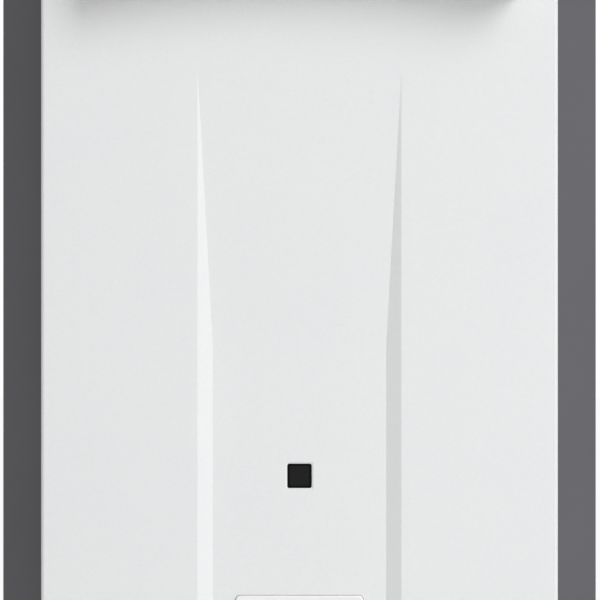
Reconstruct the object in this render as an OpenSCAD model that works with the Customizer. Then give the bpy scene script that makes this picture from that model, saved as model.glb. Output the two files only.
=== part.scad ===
// Wall-hung tankless gas water heater. Millimetres, +Z up, the front faces -Y.
// The origin is the middle of the upper wall bolts, on the wall's surface.

/* [Case] */
// Width of the case across its side walls
case_w = 350; // [340:1:400]
// Height of the case
case_h = 570; // [560:1:640]
// Depth of the case from its back to the rim that the cover closes
case_d = 140; // [138:1:160]
// Thickness of the case's sheet steel
sheet_t = 1; // [0.8:0.1:1.4]
// Width of each slanted front corner, seen from the front
corner_w = 27; // [22:1:32]
// Depth of each slanted front corner
corner_d = 30; // [24:1:36]
// Width of the flange round the case's mouth
rim_w = 14; // [12:1:16]
// Outer radius of the folded edges
fold_r = 2.5; // [2:0.1:4]
// Gap between the wall and the case's back
wall_gap = 10; // [8:0.5:16]

/* [Front cover] */
// Width of the white cover
cover_w = 304; // [300:1:310]
// How far the cover stands out from the case's rim
cover_d = 20; // [18:0.5:24]
// Thickness of the cover's sheet
cover_t = 1.2; // [0.8:0.1:1.6]
// Radius of the cover's pressed front edges
cover_r = 2; // [1.8:0.1:6]
// Gap between the cover and the case's ends
cover_gap = 0.8; // [0.5:0.1:1.2]
// How far the cover's sides reach back past the rim
side_lap = 2.4; // [1:0.1:2.6]
// How far the cover's top and bottom walls reach back past the rim
end_lap = 18; // [16:0.5:22]
// Width of the channel pressed into the cover
channel_w = 120; // [110:1:130]
// Full depth of the channel
channel_d = 4.5; // [4:0.5:6]
// Width of each slanted channel wall at the full depth
channel_wall = 9; // [6:0.5:12]
// Distance from the case's top to where the channel starts
channel_drop = 149; // [146:1:160]
// Height over which the channel's floor ramps in
channel_ramp = 162; // [140:1:170]
// Radius of the channel's soft outer edges
channel_r = 3; // [1.5:0.5:4]

/* [Window and name plate] */
// Side of the square display window
window_w = 14.4; // [12:0.1:18]
// Distance from the case's top to the window's centre
window_drop = 388; // [384:1:392]
// Corner radius of the window
window_r = 1.2; // [0.8:0.1:2]
// Width of the bare name plate
plate_w = 75; // [60:1:84]
// Height of the bare name plate
plate_h = 22; // [16:1:26]
// Thickness of the name plate
plate_t = 1.5; // [1:0.1:2]
// Distance from the case's top to the plate's upper edge
plate_drop = 458.4; // [450:0.1:470]
// Corner radius of the plate
plate_r = 2.5; // [1:0.1:4]

/* [Exhaust hood] */
// Width of the hood
hood_w = 260; // [250:1:270]
// Height of the hood at its ends
hood_h = 75; // [72:1:80]
// How far the hood stands out from the cover
hood_d = 30; // [26:1:36]
// Thickness of the hood's sheet
hood_t = 1.2; // [1:0.1:1.6]
// Distance from the case's top to the hood's top
hood_drop = 32; // [28:1:36]
// Rise of the arch in the hood's lower lip
hood_arch = 9; // [6:0.5:12]
// How far the hood's walls draw in towards its front
hood_draft = 7; // [4:0.5:10]
// Width of the frame round the hood's mouth
hood_frame = 8; // [6:0.5:12]
// Corner radius of the hood
hood_r = 14; // [10:1:18]
// Number of louvre blades in the hood
louvres = 5; // [4:1:6]
// Thickness of a louvre blade
louvre_t = 1; // [0.8:0.1:1.4]

/* [Wall brackets] */
// Width of the wall brackets
bracket_w = 240; // [230:1:260]
// Thickness of the brackets' steel
bracket_t = 2; // [1.6:0.1:2.5]
// Distance between the two wall bolts of a bracket
bolt_spacing = 200; // [180:1:210]
// Radius of the wall bolt holes
bolt_hole_r = 3.5; // [3:0.1:4.5]
// Distance from a bolt line to the near end of the case
bolt_rise = 14; // [13:0.5:20]

/* [Pipe connections] */
// Outer radius of the 3/4 inch pipe threads
thread_r = 13.2; // [13:0.1:13.5]
// Length of the pipe threads
thread_l = 16; // [14:0.5:20]
// Radius of the waterway and the gasway in the fittings
way_r = 8; // [7:0.1:9]
// Outer radius of the copper pipes
pipe_r = 7.5; // [7:0.1:8]
// Wall of the copper pipes
pipe_t = 0.9; // [0.7:0.1:1.2]
// Distance from the case's left side to the gas inlet
gas_edge = 55; // [53:1:58]
// Distance from the case's right side to the cold inlet
cold_edge = 57; // [55:1:59]
// Distance between the hot outlet and the cold inlet
water_spacing = 66; // [64:1:68]

/* [Burner and heat exchanger] */
// Height of the burner case's underside above the case's bottom
burner_z = 178; // [176:1:184]
// Height of the burner case
burner_h = 104; // [98:1:108]
// Width of the burner case
burner_w = 224; // [220:1:230]
// Room between the burner case's front and the plane of the case's rim
engine_room = 25; // [24:1:27]
// Distance from the case's back to the burner case
engine_gap = 18; // [16:0.5:20]
// Number of burner bars
burner_bars = 10; // [8:1:12]
// Height of the heat exchanger
exchanger_h = 118; // [112:1:122]
// Thickness of the copper shell
copper_t = 0.8; // [0.6:0.1:1.2]
// Number of exchanger fins
fins = 24; // [16:1:30]

/* [Fan] */
// Radius of the fan wheel
wheel_r = 44; // [40:1:46]
// Width of the fan wheel's blades
wheel_w = 36; // [30:1:40]
// Number of fan blades
blades = 24; // [16:1:30]
// Radius of the fan shaft
shaft_r = 3; // [2.5:0.1:4]

/* [Fits] */
// Radial play of a turning or sliding shaft
running = 0.05; // [0.02:0.01:0.08]
// Gap between a moving piece and its seat
seat = 0.3; // [0.2:0.05:0.4]
// Gap between sheet pieces that sit one in the other
slip = 0.3; // [0.2:0.05:0.5]

/* [Hidden] */
$fn = 48;
// Overshoot of a cut past the face that it opens
cut = 1;
base_z = -(case_h + bolt_rise);
rim_x = case_w / 2 - corner_w;
mouth_x = rim_x - rim_w;
cover_face_d = case_d + cover_d;
cover_low = -(cover_gap + cover_t);
screw_r = 2;
bead_r = 8;
bead_rise = 3;
bead_l = 190;
beads = 4;
bead_span = 0.76 * case_h;

// Cover screws, seal and the cover's inner frame
cover_screw_x = 80;
cover_screw_d = case_d - end_lap / 2;
seal_t = 3;
seal_edge = 2;
frame_t = 1;
frame_edge = 4;

// How far a soft edge's arc pokes through the face it runs into
edge_lift = 0.02;

// Display window and name plate
window_play = 0.15;
window_lip = 2.5;
window_lip_t = 2;
window_slope = 1;
window_sunk = 0.6;
plate_bevel = 0.6;

// Hood and the duct's neck behind it
hood_z = case_h - hood_drop - hood_h;
hood_mid_z = case_h - hood_drop - (hood_h - hood_arch) / 2;
neck_w = burner_w;
neck_h = 48;
neck_z = hood_mid_z;
neck_gap = 3;
neck_front = cover_face_d + 3;
duct_slope = 34;
grille_lap = 3;
blade_d = 12;
louvre_tilt = 30;

// Brackets
bracket_end = 12;
bracket_step = 16;
bracket_foot = 34;
keyhole_drop = 12;

// Burner, exchanger and duct stand over each other
engine_back = engine_gap + sheet_t;
engine_front = case_d - engine_room;
engine_d = engine_front - engine_back;
engine_mid = engine_back + engine_d / 2;
joint_w = 5;
joint_t = 2;
exchanger_z = burner_z + burner_h;
duct_z = exchanger_z + exchanger_h;
rail_edge = 28;
rail_x = burner_w / 2 - rail_edge;
rail_w = 16;
rail_z = burner_z - 24;
rail_top = duct_z + 60;
bar_edge = 2;
bar_pitch = (burner_w - 2 * bar_edge) / burner_bars;
bar_z = burner_z + 20;
bar_gap = 4;
bar_neck = 3;
bar_h = 46;
bar_head = 9;
bar_slot = 2;
venturi_r = 6;
manifold_d = engine_front + 8;
manifold_t = 14;
manifold_h = 26;
manifold_mid = manifold_d + manifold_t / 2;
manifold_half = burner_w / 2 - bar_edge;
injector_r = 4.5;
injector_l = 6;
gas_pipe_r = 6;
gas_bend_r = 10;
gas_pipe_room = 3;
gas_run_z = burner_z - 20;
electrode_xs = [-3, -2, 2] * bar_pitch;
electrode_z = burner_z + 86;
electrode_reach = 30;
ceramic_r = 3.5;
ceramic_l = 18;
sight_edge = 32;
sight_x = burner_w / 2 - sight_edge;
sight_r = 7;
sight_rim = 3;
fin_edge = 12;
fin_over = 14.4;
fin_t = 0.6;
turn_gap = 4;
stub_l = 16;
switch_r = 7;
switch_l = 6;

// Pipe connections, all in line with the exchanger's front column of tubes
flange_edge = 18;
flange_room = 1;
conn_d = case_d - end_lap - flange_edge - flange_room;
tube_pitch = (conn_d - engine_mid) / 1.5;
bend_r = tube_pitch / 2;
gas_x = case_w / 2 - gas_edge;
cold_x = case_w / 2 - cold_edge;
hot_x = cold_x - water_spacing;
fitting_drop = 62;
hex_r = 19;
hex_h = 10;
barrel_r = 15;
socket_h = 18;
boss_drop = 18;
boss_l = 28;
filter_r = 10;
drain_r = 6;
boss_t = 3;
cap_h = 12;
cap_ribs = 12;
cap_rib_r = 1.2;
cap_stem = 8;
strainer_r = 7.5;
strainer_t = 0.8;
mesh_slot = [1.6, 2.6];
mesh_pitch = 4;
nut_r = 13;
nut_h = 9;

// The tube wraps the shell in two loops before it passes through the fins; its lower end hangs down
wrap_gap = 0.3;
wrap_x = burner_w / 2 + pipe_r + wrap_gap;
wrap_d = engine_front + pipe_r + wrap_gap;
wrap_z = exchanger_z + 14;
wrap_start = wrap_z - bend_r - nut_h + 1;
side_x = max(wrap_x, cold_x) + 2 * bend_r + wrap_gap;
tube_z = wrap_z + 2 * tube_pitch;
shell_r = bend_r - pipe_r - wrap_gap;
flange_t = 3;
flange_w = 56;
flange_screw_x = 22;
gland_x = -40;
gland_r = 8;
gland_nut = 5;
gland_nut_r = 11.2;
gland_dome = 8;
gland_tip_r = 6.8;
gland_base_r = 9.2;
cable_r = 5;
air_slots = 10;
air_slot_w = 5;
air_slot_l = 46;
air_pitch = 9;
air_x = -72;
air_d = 30;

// Fan
fan_x = -18;
fan_z = 86;
fan_d = 22;
fan_t = 1.2;
wheel_gap = 6;
wheel_side = 3;
volute_step = 5;
inlet_r = 30;
hub_r = 8;
hub_l = 14;
blade_t = 1;
wheel_t = 2;
blade_out = 0.8;
blade_bend = 0.9;
housing_rim = 4;
housing_rim_t = 1.6;
foot_r = 5;
fan_feet = [[-34, -34], [34, -34], [34, 34]];
fan_front = fan_d + wheel_w + 2 * wheel_side + 2 * fan_t;
fan_out_x = fan_x - wheel_r - wheel_gap - 3 * volute_step;
fan_out_w = 52;
shaft_start = fan_d + fan_t + wheel_side + 10;
motor_r = 28;
motor_l = 32;
motor_end = 3;
motor_flange = 5;
motor_rib = 1.5;

// Gas valve
valve_depth = 36;
valve_front = conn_d + valve_depth / 4;
valve_w = 52;
valve_h = 96;
valve_r = 6;
valve_pipe_d = valve_front - valve_depth / 2;
valve_boss = 3;
valve_boss_h = 8;
nipple_r = 3.5;
gas_way_r = 5;
coil_low = 38;
coil_pitch = 26;
coil_r = 11;
coil_l = 26;
yoke_t = 2;
yoke_w = 13.2;
chamber_r = 9.5;
chamber_d = 12;
plunger_r = 4;
plunger_travel = 2;
disc_t = 2;
disc_gap = 1.5;

// Water way
sensor_h = 50;
sensor_bore = 10;
spider_t = 3;
spoke_w = 1.6;
plug_socket = [6, 12, 16];
axle_r = 1.5;
flow_z = socket_h + sensor_h;
valve_body_h = 40;
body_half = 18;
neck_up = 6;
plug_r = 12;
plug_wall = 3;
spindle_r = 3;
spindle_l = 16;
shaft_cap = 8;
servo_w = 26;
servo_d = 30;
servo_h = 34;
cold_pipe_z = flow_z + valve_body_h + neck_up;
hot_run_z = burner_z - 18;

// Controls
tray_gap = 14;
tray_x = valve_w / 2 + tray_gap - gas_x;
tray_w = cold_x - body_half - servo_w - tray_gap - tray_x;
tray_t = 28;
lid_t = 2;
tray_d = case_d + 3 - lid_t - tray_t;
tray_wall = 2;
tray_z = 30;
tray_h = 126;
tab_w = 14;
tab_t = 3;
arm_w = 18;
arm_t = 2;
led_t = 3;
led_gap = 0.4;
board_t = 1.6;
board_gap = 1;
standoff = 4;
post_w = 4;
coil_box = [0.24, 17.4, 0.22];
relay_box = [0.09, 13.4, 0.13];
socket_box = [0.13, 8.4, 0.07];
can_r = 6;
can_h = 16;
display_w = 32;
display_h = 28;
display_d = cover_face_d - channel_d - cover_t - window_lip_t - led_t - led_gap;
igniter_d = 60;
igniter_l = 38;
igniter_w = 24;
igniter_z = 214;
igniter_h = 36;
lead_r = 1.8;
lead_bend = 4;
lead_out = 6;
lead_z = electrode_z + 16;
lead_gap = 8;
lead_x = sheet_t + igniter_w + lead_gap - case_w / 2;
rod_r = 1;
probe_r = 3;
probe_l = 11;
probe_nut_r = 5;
probe_nut_h = 6;

case_grey = "#56555a";
cover_white = "#eceded";
steel = "#b9bcbe";
zinc = "#a9aeb2";
copper = "#c1764a";
brass = "#c2a45c";
black = "#222224";

// The y of a plane that lies a distance in front of the case's back
function out(d) = -(wall_gap + d);

// Puts what is measured from the case's bottom at its place
module from_base() {
    translate([0, 0, base_z]) children();
}

// A box between two corners given as x, distance from the case's back, and height
module block(a, b) {
    translate([min(a[0], b[0]), out(max(a[1], b[1])), min(a[2], b[2])])
        cube([abs(b[0] - a[0]), abs(b[1] - a[1]), abs(b[2] - a[2])]);
}

// Stands something drawn along +Z so that it runs forwards from a point
module forward(x, d, z) {
    translate([x, out(d), z]) rotate([90, 0, 0]) children();
}

// Stands something drawn along +Z so that it runs up from a point
module upward(x, d, z) {
    translate([x, out(d), z]) children();
}

// Stands something drawn along +Z so that it runs to the right from a point
module rightward(x, d, z) {
    translate([x, out(d), z]) rotate([0, 90, 0]) children();
}

// Extrudes an outline of distance-from-back and height to the right
module along_x(x, length) {
    translate([x, -wall_gap, 0]) rotate([90, 0, 90])
        linear_extrude(length) mirror([1, 0]) children();
}

// A pipe of given radii drawn along +Z
module tube(r, inner_r, h) {
    difference() {
        cylinder(r = r, h = h);
        if (inner_r > 0) translate([0, 0, -cut]) cylinder(r = inner_r, h = h + 2 * cut);
    }
}

// A rectangle with round corners, centred
module soft_square(w, h, r) {
    square([w, h - 2 * r], center = true);
    square([w - 2 * r, h], center = true);
    for (x = [-1, 1], y = [-1, 1])
        translate([x * (w / 2 - r), y * (h / 2 - r)]) circle(r);
}

function unit(v) = v / norm(v);

// A bent pipe along corner points; every run follows an axis and every bend is a right angle
module bent_pipe(points, r, inner_r, bend) {
    last = len(points) - 1;
    for (i = [0 : last - 1]) {
        step = unit(points[i + 1] - points[i]);
        start = points[i] + (i > 0 ? bend : 0) * step;
        end = points[i + 1] - (i + 1 < last ? bend : 0) * step;
        run = norm(end - start);
        if (run > 0.01) place_run(start, step) tube(r, inner_r, run);
    }
    for (i = [1 : last - 1]) {
        before = unit(points[i] - points[i - 1]);
        after = unit(points[i + 1] - points[i]);
        place_bend(points[i] - bend * before + bend * after, before, after)
            rotate_extrude(angle = 90) translate([bend, 0]) difference() {
                circle(r);
                if (inner_r > 0) circle(inner_r);
            }
    }
}

// Turns +Z to a run's direction
module place_run(start, step) {
    translate(start)
        multmatrix(axes(step.z != 0 ? [1, 0, 0] : step.y != 0 ? [0, 0, 1] : [0, 1, 0], step)) children();
}

// Turns a bend drawn in the XY plane, from +X to +Y, into the plane of two runs
module place_bend(centre, before, after) {
    translate(centre) multmatrix(frame_of(-after, before)) children();
}

// Matrix whose third axis is z_axis and whose first is x_axis
function axes(x_axis, z_axis) = frame_of(x_axis, cross(z_axis, x_axis));

// Matrix of a frame given by its first two axes
function frame_of(x_axis, y_axis) =
    let (z_axis = cross(x_axis, y_axis))
    [for (k = [0 : 2]) [x_axis[k], y_axis[k], z_axis[k], 0]];

// A point given as x, distance from the case's back, and height
function at(x, d, z) = [x, out(d), z];

// A pan head machine screw along +Z, its head on top at height 0
module screw(length) {
    translate([0, 0, -length]) cylinder(r = screw_r, h = length);
    difference() {
        cylinder(r = 2 * screw_r, h = 1.2 * screw_r);
        for (turn = [0, 90])
            translate([0, 0, 1.2 * screw_r]) rotate(turn)
                cube([2.2 * screw_r, 0.35 * screw_r, screw_r], center = true);
    }
}

// Outline of the case seen from above, drawn in by a distance; points run anticlockwise
function case_corners(inset) =
    let (
        raw = [
            [-case_w / 2, out(0)], [-case_w / 2, out(case_d - corner_d)],
            [-rim_x, out(case_d)], [rim_x, out(case_d)],
            [case_w / 2, out(case_d - corner_d)], [case_w / 2, out(0)]
        ],
        n = len(raw)
    )
    [for (i = [0 : n - 1])
        let (
            u = unit(raw[i] - raw[(i + n - 1) % n]),
            v = unit(raw[(i + 1) % n] - raw[i])
        )
        raw[i] + ([-u.y, u.x] + [-v.y, v.x]) * inset / (1 + u * v)
    ];

// The case's outline with its two back folds rounded
module case_outline(inset) {
    r = max(fold_r - inset, 0.5);
    points = case_corners(inset);
    difference() {
        polygon(points);
        for (s = [-1, 1])
            translate([s * (case_w / 2 - inset - r), out(inset + r)]) difference() {
                translate([s > 0 ? 0 : -2 * r, 0]) square(2 * r);
                circle(r);
            }
    }
}

// The mouth between the rims of the wrap
module mouth_strip(inset, depth) {
    translate([0, out(case_d)]) square([2 * (mouth_x - inset), 2 * depth], center = true);
}

// Case

module case_wrap() {
    color(case_grey) from_base() difference() {
        union() {
            translate([0, 0, sheet_t]) linear_extrude(case_h - 2 * sheet_t) difference() {
                case_outline(0);
                case_outline(sheet_t);
                mouth_strip(0, 2 * sheet_t);
            }
            intersection() {
                back_beads(bead_r);
                block([-bead_l, -bead_rise - cut, 0], [bead_l, sheet_t / 2, case_h]);
            }
        }
        back_beads(bead_r - sheet_t);
        bracket_screw_places() cylinder(r = screw_r + running, h = 3 * bracket_t, center = true);
    }
}

// Round-ended bars that press the stiffening beads out of the case's back
module back_beads(r) {
    for (i = [1 : beads])
        rightward(-bead_l / 2, bead_r - bead_rise, (case_h - bead_span) / 2 + (i - 0.5) * bead_span / beads) {
            cylinder(r = r, h = bead_l);
            sphere(r);
            translate([0, 0, bead_l]) sphere(r);
        }
}

// A lid that closes one end of the wrap, drawn with its outer face at height 0
module end_cap() {
    translate([0, 0, -sheet_t]) linear_extrude(sheet_t) case_outline(0);
    translate([0, 0, -rim_w]) linear_extrude(rim_w - sheet_t / 2) difference() {
        case_outline(sheet_t + slip);
        case_outline(2 * sheet_t + slip);
        translate([0, out(case_d)]) square([2 * rim_x, 8 * sheet_t], center = true);
    }
    block([-mouth_x + slip, case_d - sheet_t, -rim_w], [mouth_x - slip, case_d, -sheet_t / 2]);
}

// Places of the cover screws in an end of the case
module cover_screw_places() {
    for (s = [-1, 1]) translate([s * cover_screw_x, out(cover_screw_d), 0]) children();
}

module top_cap() {
    color(case_grey) from_base() translate([0, 0, case_h]) difference() {
        end_cap();
        cover_screw_places() cylinder(r = screw_r + running, h = 4 * sheet_t, center = true);
    }
}

module bottom_plate() {
    color(case_grey) from_base() difference() {
        mirror([0, 0, 1]) end_cap();
        cover_screw_places() cylinder(r = screw_r + running, h = 4 * sheet_t, center = true);
        for (x = [-gas_x, hot_x, cold_x])
            upward(x, conn_d, -cut) cylinder(r = barrel_r + slip, h = sheet_t + 2 * cut);
        upward(gland_x, conn_d, -cut) cylinder(r = gland_r + slip, h = sheet_t + 2 * cut);
        flange_screw_places() cylinder(r = screw_r + running, h = 4 * sheet_t, center = true);
        for (i = [0 : air_slots - 1])
            block([air_x + i * air_pitch, air_d, -cut],
                [air_x + i * air_pitch + air_slot_w, air_d + air_slot_l, sheet_t + cut]);
    }
}

// Front cover

// The space inside a pan, drawn in by a distance from the cover's outer faces
module cover_space(inset) {
    r = cover_r - inset;
    w = cover_w - 2 * inset;
    low = cover_low + inset;
    high = case_h - low;
    front = cover_face_d - inset;
    back = case_d - end_lap - (inset > 0 ? cut : 0);
    intersection() {
        translate([0, 0, low]) linear_extrude(high - low)
            translate([0, out(front)]) union() {
                translate([-w / 2, r]) square([w, front - back - r]);
                translate([r - w / 2, 0]) square([w - 2 * r, r + cut]);
                for (s = [-1, 1]) translate([s * (w / 2 - r), r]) circle(r);
            }
        along_x(-w / 2, w) union() {
            translate([back, low]) square([front - back - r, high - low]);
            translate([front - r - cut, low + r]) square([r + cut, high - low - 2 * r]);
            for (z = [low + r, high - r]) translate([front - r, z]) circle(r);
        }
    }
}

// The channel's section seen from above, grown outwards all round by a distance
module channel_section(grow) {
    slope = atan2(channel_d, channel_wall);
    edge = channel_w / 2 + grow / sin(slope);
    foot = edge - (channel_d + grow) / tan(slope);
    reach = grow > 0 ? 0 : channel_r * tan(slope / 2);
    difference() {
        polygon([
            [-edge - reach, out(cover_face_d + cut)], [-edge - reach, out(cover_face_d)],
            [reach * cos(slope) - edge, out(cover_face_d - reach * sin(slope))],
            [-foot, out(cover_face_d - channel_d - grow)], [foot, out(cover_face_d - channel_d - grow)],
            [edge - reach * cos(slope), out(cover_face_d - reach * sin(slope))],
            [edge + reach, out(cover_face_d)], [edge + reach, out(cover_face_d + cut)]
        ]);
        if (reach > 0) for (s = [-1, 1])
            translate([s * (edge + reach), out(cover_face_d - channel_r + edge_lift)]) circle(channel_r);
    }
}

// The channel's floor seen from the side, sunk by a distance
module channel_floor(sink) {
    start = case_h - channel_drop;
    polygon([
        [cover_face_d + 2 * cut, cover_low - 2 * cut],
        [cover_face_d - channel_d - sink, cover_low - 2 * cut],
        [cover_face_d - channel_d - sink, start - channel_ramp],
        [cover_face_d - sink, start],
        [cover_face_d + 2 * cut, start + (2 * cut + sink) * channel_ramp / channel_d]
    ]);
}

module channel_space(grow) {
    intersection() {
        translate([0, 0, cover_low - cut]) linear_extrude(case_h) channel_section(grow);
        along_x(-channel_w, 2 * channel_w) channel_floor(grow);
    }
}

module front_cover() {
    color(cover_white) from_base() difference() {
        cover_space(0);
        difference() {
            cover_space(cover_t);
            channel_space(cover_t);
        }
        cover_sides_cut();
        channel_space(0);
        forward(0, cover_face_d - channel_d - 2 * cover_t, case_h - window_drop)
            linear_extrude(channel_d + 3 * cover_t) soft_square(window_w, window_w, window_r);
        forward(0, cover_face_d - channel_d - window_sunk, case_h - window_drop)
            sloped_pit(window_w, window_sunk, window_slope);
        forward(0, cover_face_d - 2 * cover_t, hood_mid_z)
            linear_extrude(4 * cover_t) soft_square(neck_w + 2 * neck_gap, neck_h + 2 * neck_gap, neck_gap);
        for (z = [-cover_gap - cover_t / 2, case_h + cover_gap + cover_t / 2])
            cover_screw_places() translate([0, 0, z]) {
                cylinder(r = screw_r + slip, h = 2 * cover_t, center = true);
                translate([-screw_r - slip, 0, -cover_t])
                    cube([2 * (screw_r + slip), 2 * end_lap, 2 * cover_t]);
            }
    }
}

// A square pit with sloping sides: its floor's width, its depth and the width of each side
module sloped_pit(w, depth, side) {
    intersection() {
        pit_section(w, depth, side);
        rotate(90) pit_section(w, depth, side);
    }
}

// The pit's section, carried on past its mouth to twice its depth
module pit_section(w, depth, side) {
    rotate([90, 0, 0]) linear_extrude(w + 4 * side, center = true) polygon([
        [-w / 2, 0], [w / 2, 0], [w / 2 + 2 * side, 2 * depth], [-w / 2 - 2 * side, 2 * depth]
    ]);
}

// Shortens the cover's side walls, which reach back less far than its end walls
module cover_sides_cut() {
    for (s = [-1, 1])
        block([s * (cover_w / 2 + cut), case_d - end_lap - cut, -cover_gap],
            [s * (cover_w / 2 - 4 * cover_t), case_d - side_lap, case_h + cover_gap]);
}

// A channel-shaped ring inside the cover that stiffens it and presses on the seal
module cover_frame() {
    start = case_d + seal_t + seat;
    depth = cover_face_d - cover_t - start;
    outer = [2 * (rim_x - frame_edge), case_h - 2 * frame_edge];
    inner = [2 * (mouth_x + seal_edge), case_h - 2 * (rim_w - seal_edge)];
    color(zinc) from_base() difference() {
        forward(0, start, case_h / 2) difference() {
            linear_extrude(depth) difference() {
                square(outer, center = true);
                square(inner, center = true);
            }
            translate([0, 0, frame_t]) linear_extrude(depth) difference() {
                square(outer - [2, 2] * frame_t, center = true);
                square(inner + [2, 2] * frame_t, center = true);
            }
        }
        channel_space(cover_t + slip);
    }
}

module cover_seal() {
    color(black) from_base() forward(0, case_d, case_h / 2) linear_extrude(seal_t) difference() {
        square([2 * (rim_x - seal_edge), case_h - 2 * seal_edge], center = true);
        square([2 * (mouth_x + seal_edge), case_h - 2 * (rim_w - seal_edge)], center = true);
    }
}

module cover_screws() {
    color(steel) from_base() {
        translate([0, 0, case_h + cover_gap + cover_t]) cover_screw_places() screw(3 * screw_r);
        translate([0, 0, -cover_gap - cover_t]) mirror([0, 0, 1]) cover_screw_places() screw(3 * screw_r);
    }
}

module display_window() {
    color(black) from_base()
        forward(0, cover_face_d - channel_d - cover_t, case_h - window_drop) {
            linear_extrude(cover_t - window_sunk)
                soft_square(window_w - 2 * window_play, window_w - 2 * window_play, window_r - window_play);
            translate([0, 0, -window_lip_t]) linear_extrude(window_lip_t)
                soft_square(window_w + 2 * window_lip, window_w + 2 * window_lip, window_r + window_lip);
        }
}

module name_plate() {
    color(steel) from_base()
        forward(0, cover_face_d - channel_d, case_h - plate_drop - plate_h / 2) {
            linear_extrude(plate_t - plate_bevel) soft_square(plate_w, plate_h, plate_r);
            linear_extrude(plate_t)
                soft_square(plate_w - 2 * plate_bevel, plate_h - 2 * plate_bevel, plate_r - plate_bevel);
        }
}

// Exhaust hood

// The hood's outline seen from the front, drawn in by a distance; its sides and top also by a draft
module hood_outline(inset, draft = 0) {
    arch_r = hood_w * hood_w / (8 * hood_arch) + hood_arch / 2;
    w = hood_w - 2 * (inset + draft);
    h = hood_h - 2 * inset - draft;
    difference() {
        translate([0, hood_z + inset + h / 2]) soft_square(w, h, max(hood_r - inset - draft, 2));
        translate([0, hood_z + hood_arch - arch_r]) circle(arch_r + inset, $fn = 240);
    }
}

// The hood's solid form, drawn in by a distance from its outer faces
module hood_form(inset) {
    back = cover_face_d - (inset > 0 ? cut : 0);
    front = cover_face_d + hood_d - inset;
    draw = hood_draft * (front - back) / hood_d;
    mid_z = hood_z + hood_h / 2;
    intersection() {
        forward(0, back, 0) linear_extrude(front - back) hood_outline(inset);
        translate([0, 0, hood_z - cut]) linear_extrude(hood_h + 2 * cut) polygon([
            [-hood_w / 2 + inset, out(back)], [-hood_w / 2 + inset + draw, out(front)],
            [hood_w / 2 - inset - draw, out(front)], [hood_w / 2 - inset, out(back)]
        ]);
        along_x(-hood_w / 2, hood_w) polygon([
            [back, hood_z - cut], [front, hood_z - cut],
            [front, hood_z + hood_h - inset - draw], [back, hood_z + hood_h - inset]
        ]);
    }
}

module exhaust_hood() {
    color(steel) from_base() difference() {
        hood_form(0);
        hood_form(hood_t);
        forward(0, cover_face_d + hood_d - 2 * hood_t, 0)
            linear_extrude(3 * hood_t) hood_outline(hood_frame, hood_draft);
    }
}

module exhaust_grille() {
    grille_d = cover_face_d + hood_d - hood_t;
    color(black) from_base() {
        forward(0, grille_d - hood_t, 0) linear_extrude(hood_t) difference() {
            hood_outline(hood_frame - grille_lap, hood_draft);
            hood_outline(hood_frame, hood_draft);
        }
        intersection() {
            forward(0, grille_d - blade_d, 0) linear_extrude(blade_d)
                hood_outline(hood_frame - grille_lap, hood_draft);
            union() {
                for (i = [0 : louvres - 1])
                    translate([0, out(grille_d - blade_d / 2), louvre_z(i)]) rotate([louvre_tilt, 0, 0])
                        cube([hood_w, blade_d, louvre_t], center = true);
                for (x = [-1, 1] * hood_w / 6)
                    translate([x, out(grille_d - blade_d / 2), hood_z + hood_h / 2])
                        cube([louvre_t, blade_d, hood_h], center = true);
            }
        }
    }
}

// Height of a louvre blade's middle
function louvre_z(i) = hood_z + hood_arch + hood_frame
    + (hood_h - hood_draft - hood_arch - 2 * hood_frame) * (i + 0.5) / louvres;

module exhaust_seal() {
    color(black) from_base() forward(0, cover_face_d - cover_t - seat - seal_t, hood_mid_z)
        linear_extrude(seal_t) difference() {
            soft_square(neck_w + 4 * neck_gap, neck_h + 4 * neck_gap, 2 * neck_gap);
            square([neck_w + 2 * seat, neck_h + 2 * seat], center = true);
        }
}

// Wall brackets

// Section of the upper bracket: wall strip, web and the foot on the case's back
module bracket_section() {
    web_z = case_h - bracket_step;
    translate([-wall_gap, web_z]) square([bracket_t, bracket_step + bolt_rise + bracket_end]);
    translate([-wall_gap, web_z]) square([wall_gap, bracket_t]);
    translate([-bracket_t, web_z - bracket_foot]) square([bracket_t, bracket_foot + bracket_t]);
}

module bracket(keyhole) {
    difference() {
        along_x(-bracket_w / 2, bracket_w) bracket_section();
        for (s = [-1, 1]) forward(s * bolt_spacing / 2, -wall_gap - cut, case_h + bolt_rise)
            cylinder(r = bolt_hole_r, h = bracket_t + 2 * cut);
        bracket_feet() cylinder(r = screw_r + running, h = 3 * bracket_t, center = true);
        if (keyhole) forward(0, -wall_gap - cut, case_h + bolt_rise) linear_extrude(bracket_t + 2 * cut) {
            circle(bolt_hole_r);
            translate([-bolt_hole_r, -keyhole_drop]) square([2 * bolt_hole_r, keyhole_drop]);
            translate([0, -keyhole_drop]) circle(2 * bolt_hole_r);
        }
    }
}

// Places of the upper bracket's screws, on the outer face of its foot
module bracket_feet() {
    for (s = [-1, 1]) forward(s * bolt_spacing / 2, -bracket_t, case_h - bracket_step - bracket_foot / 2)
        mirror([0, 0, 1]) children();
}

// Turns what belongs to the top end over to the bottom end
module other_end() {
    translate([0, 0, case_h]) mirror([0, 0, 1]) children();
}

module bracket_screw_places() {
    bracket_feet() children();
    other_end() bracket_feet() children();
}

module upper_bracket() {
    color(zinc) from_base() bracket(true);
}

module lower_bracket() {
    color(zinc) from_base() other_end() bracket(false);
}

module bracket_screws() {
    color(steel) from_base() bracket_screw_places() screw(bracket_t + 2 * sheet_t);
}

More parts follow.
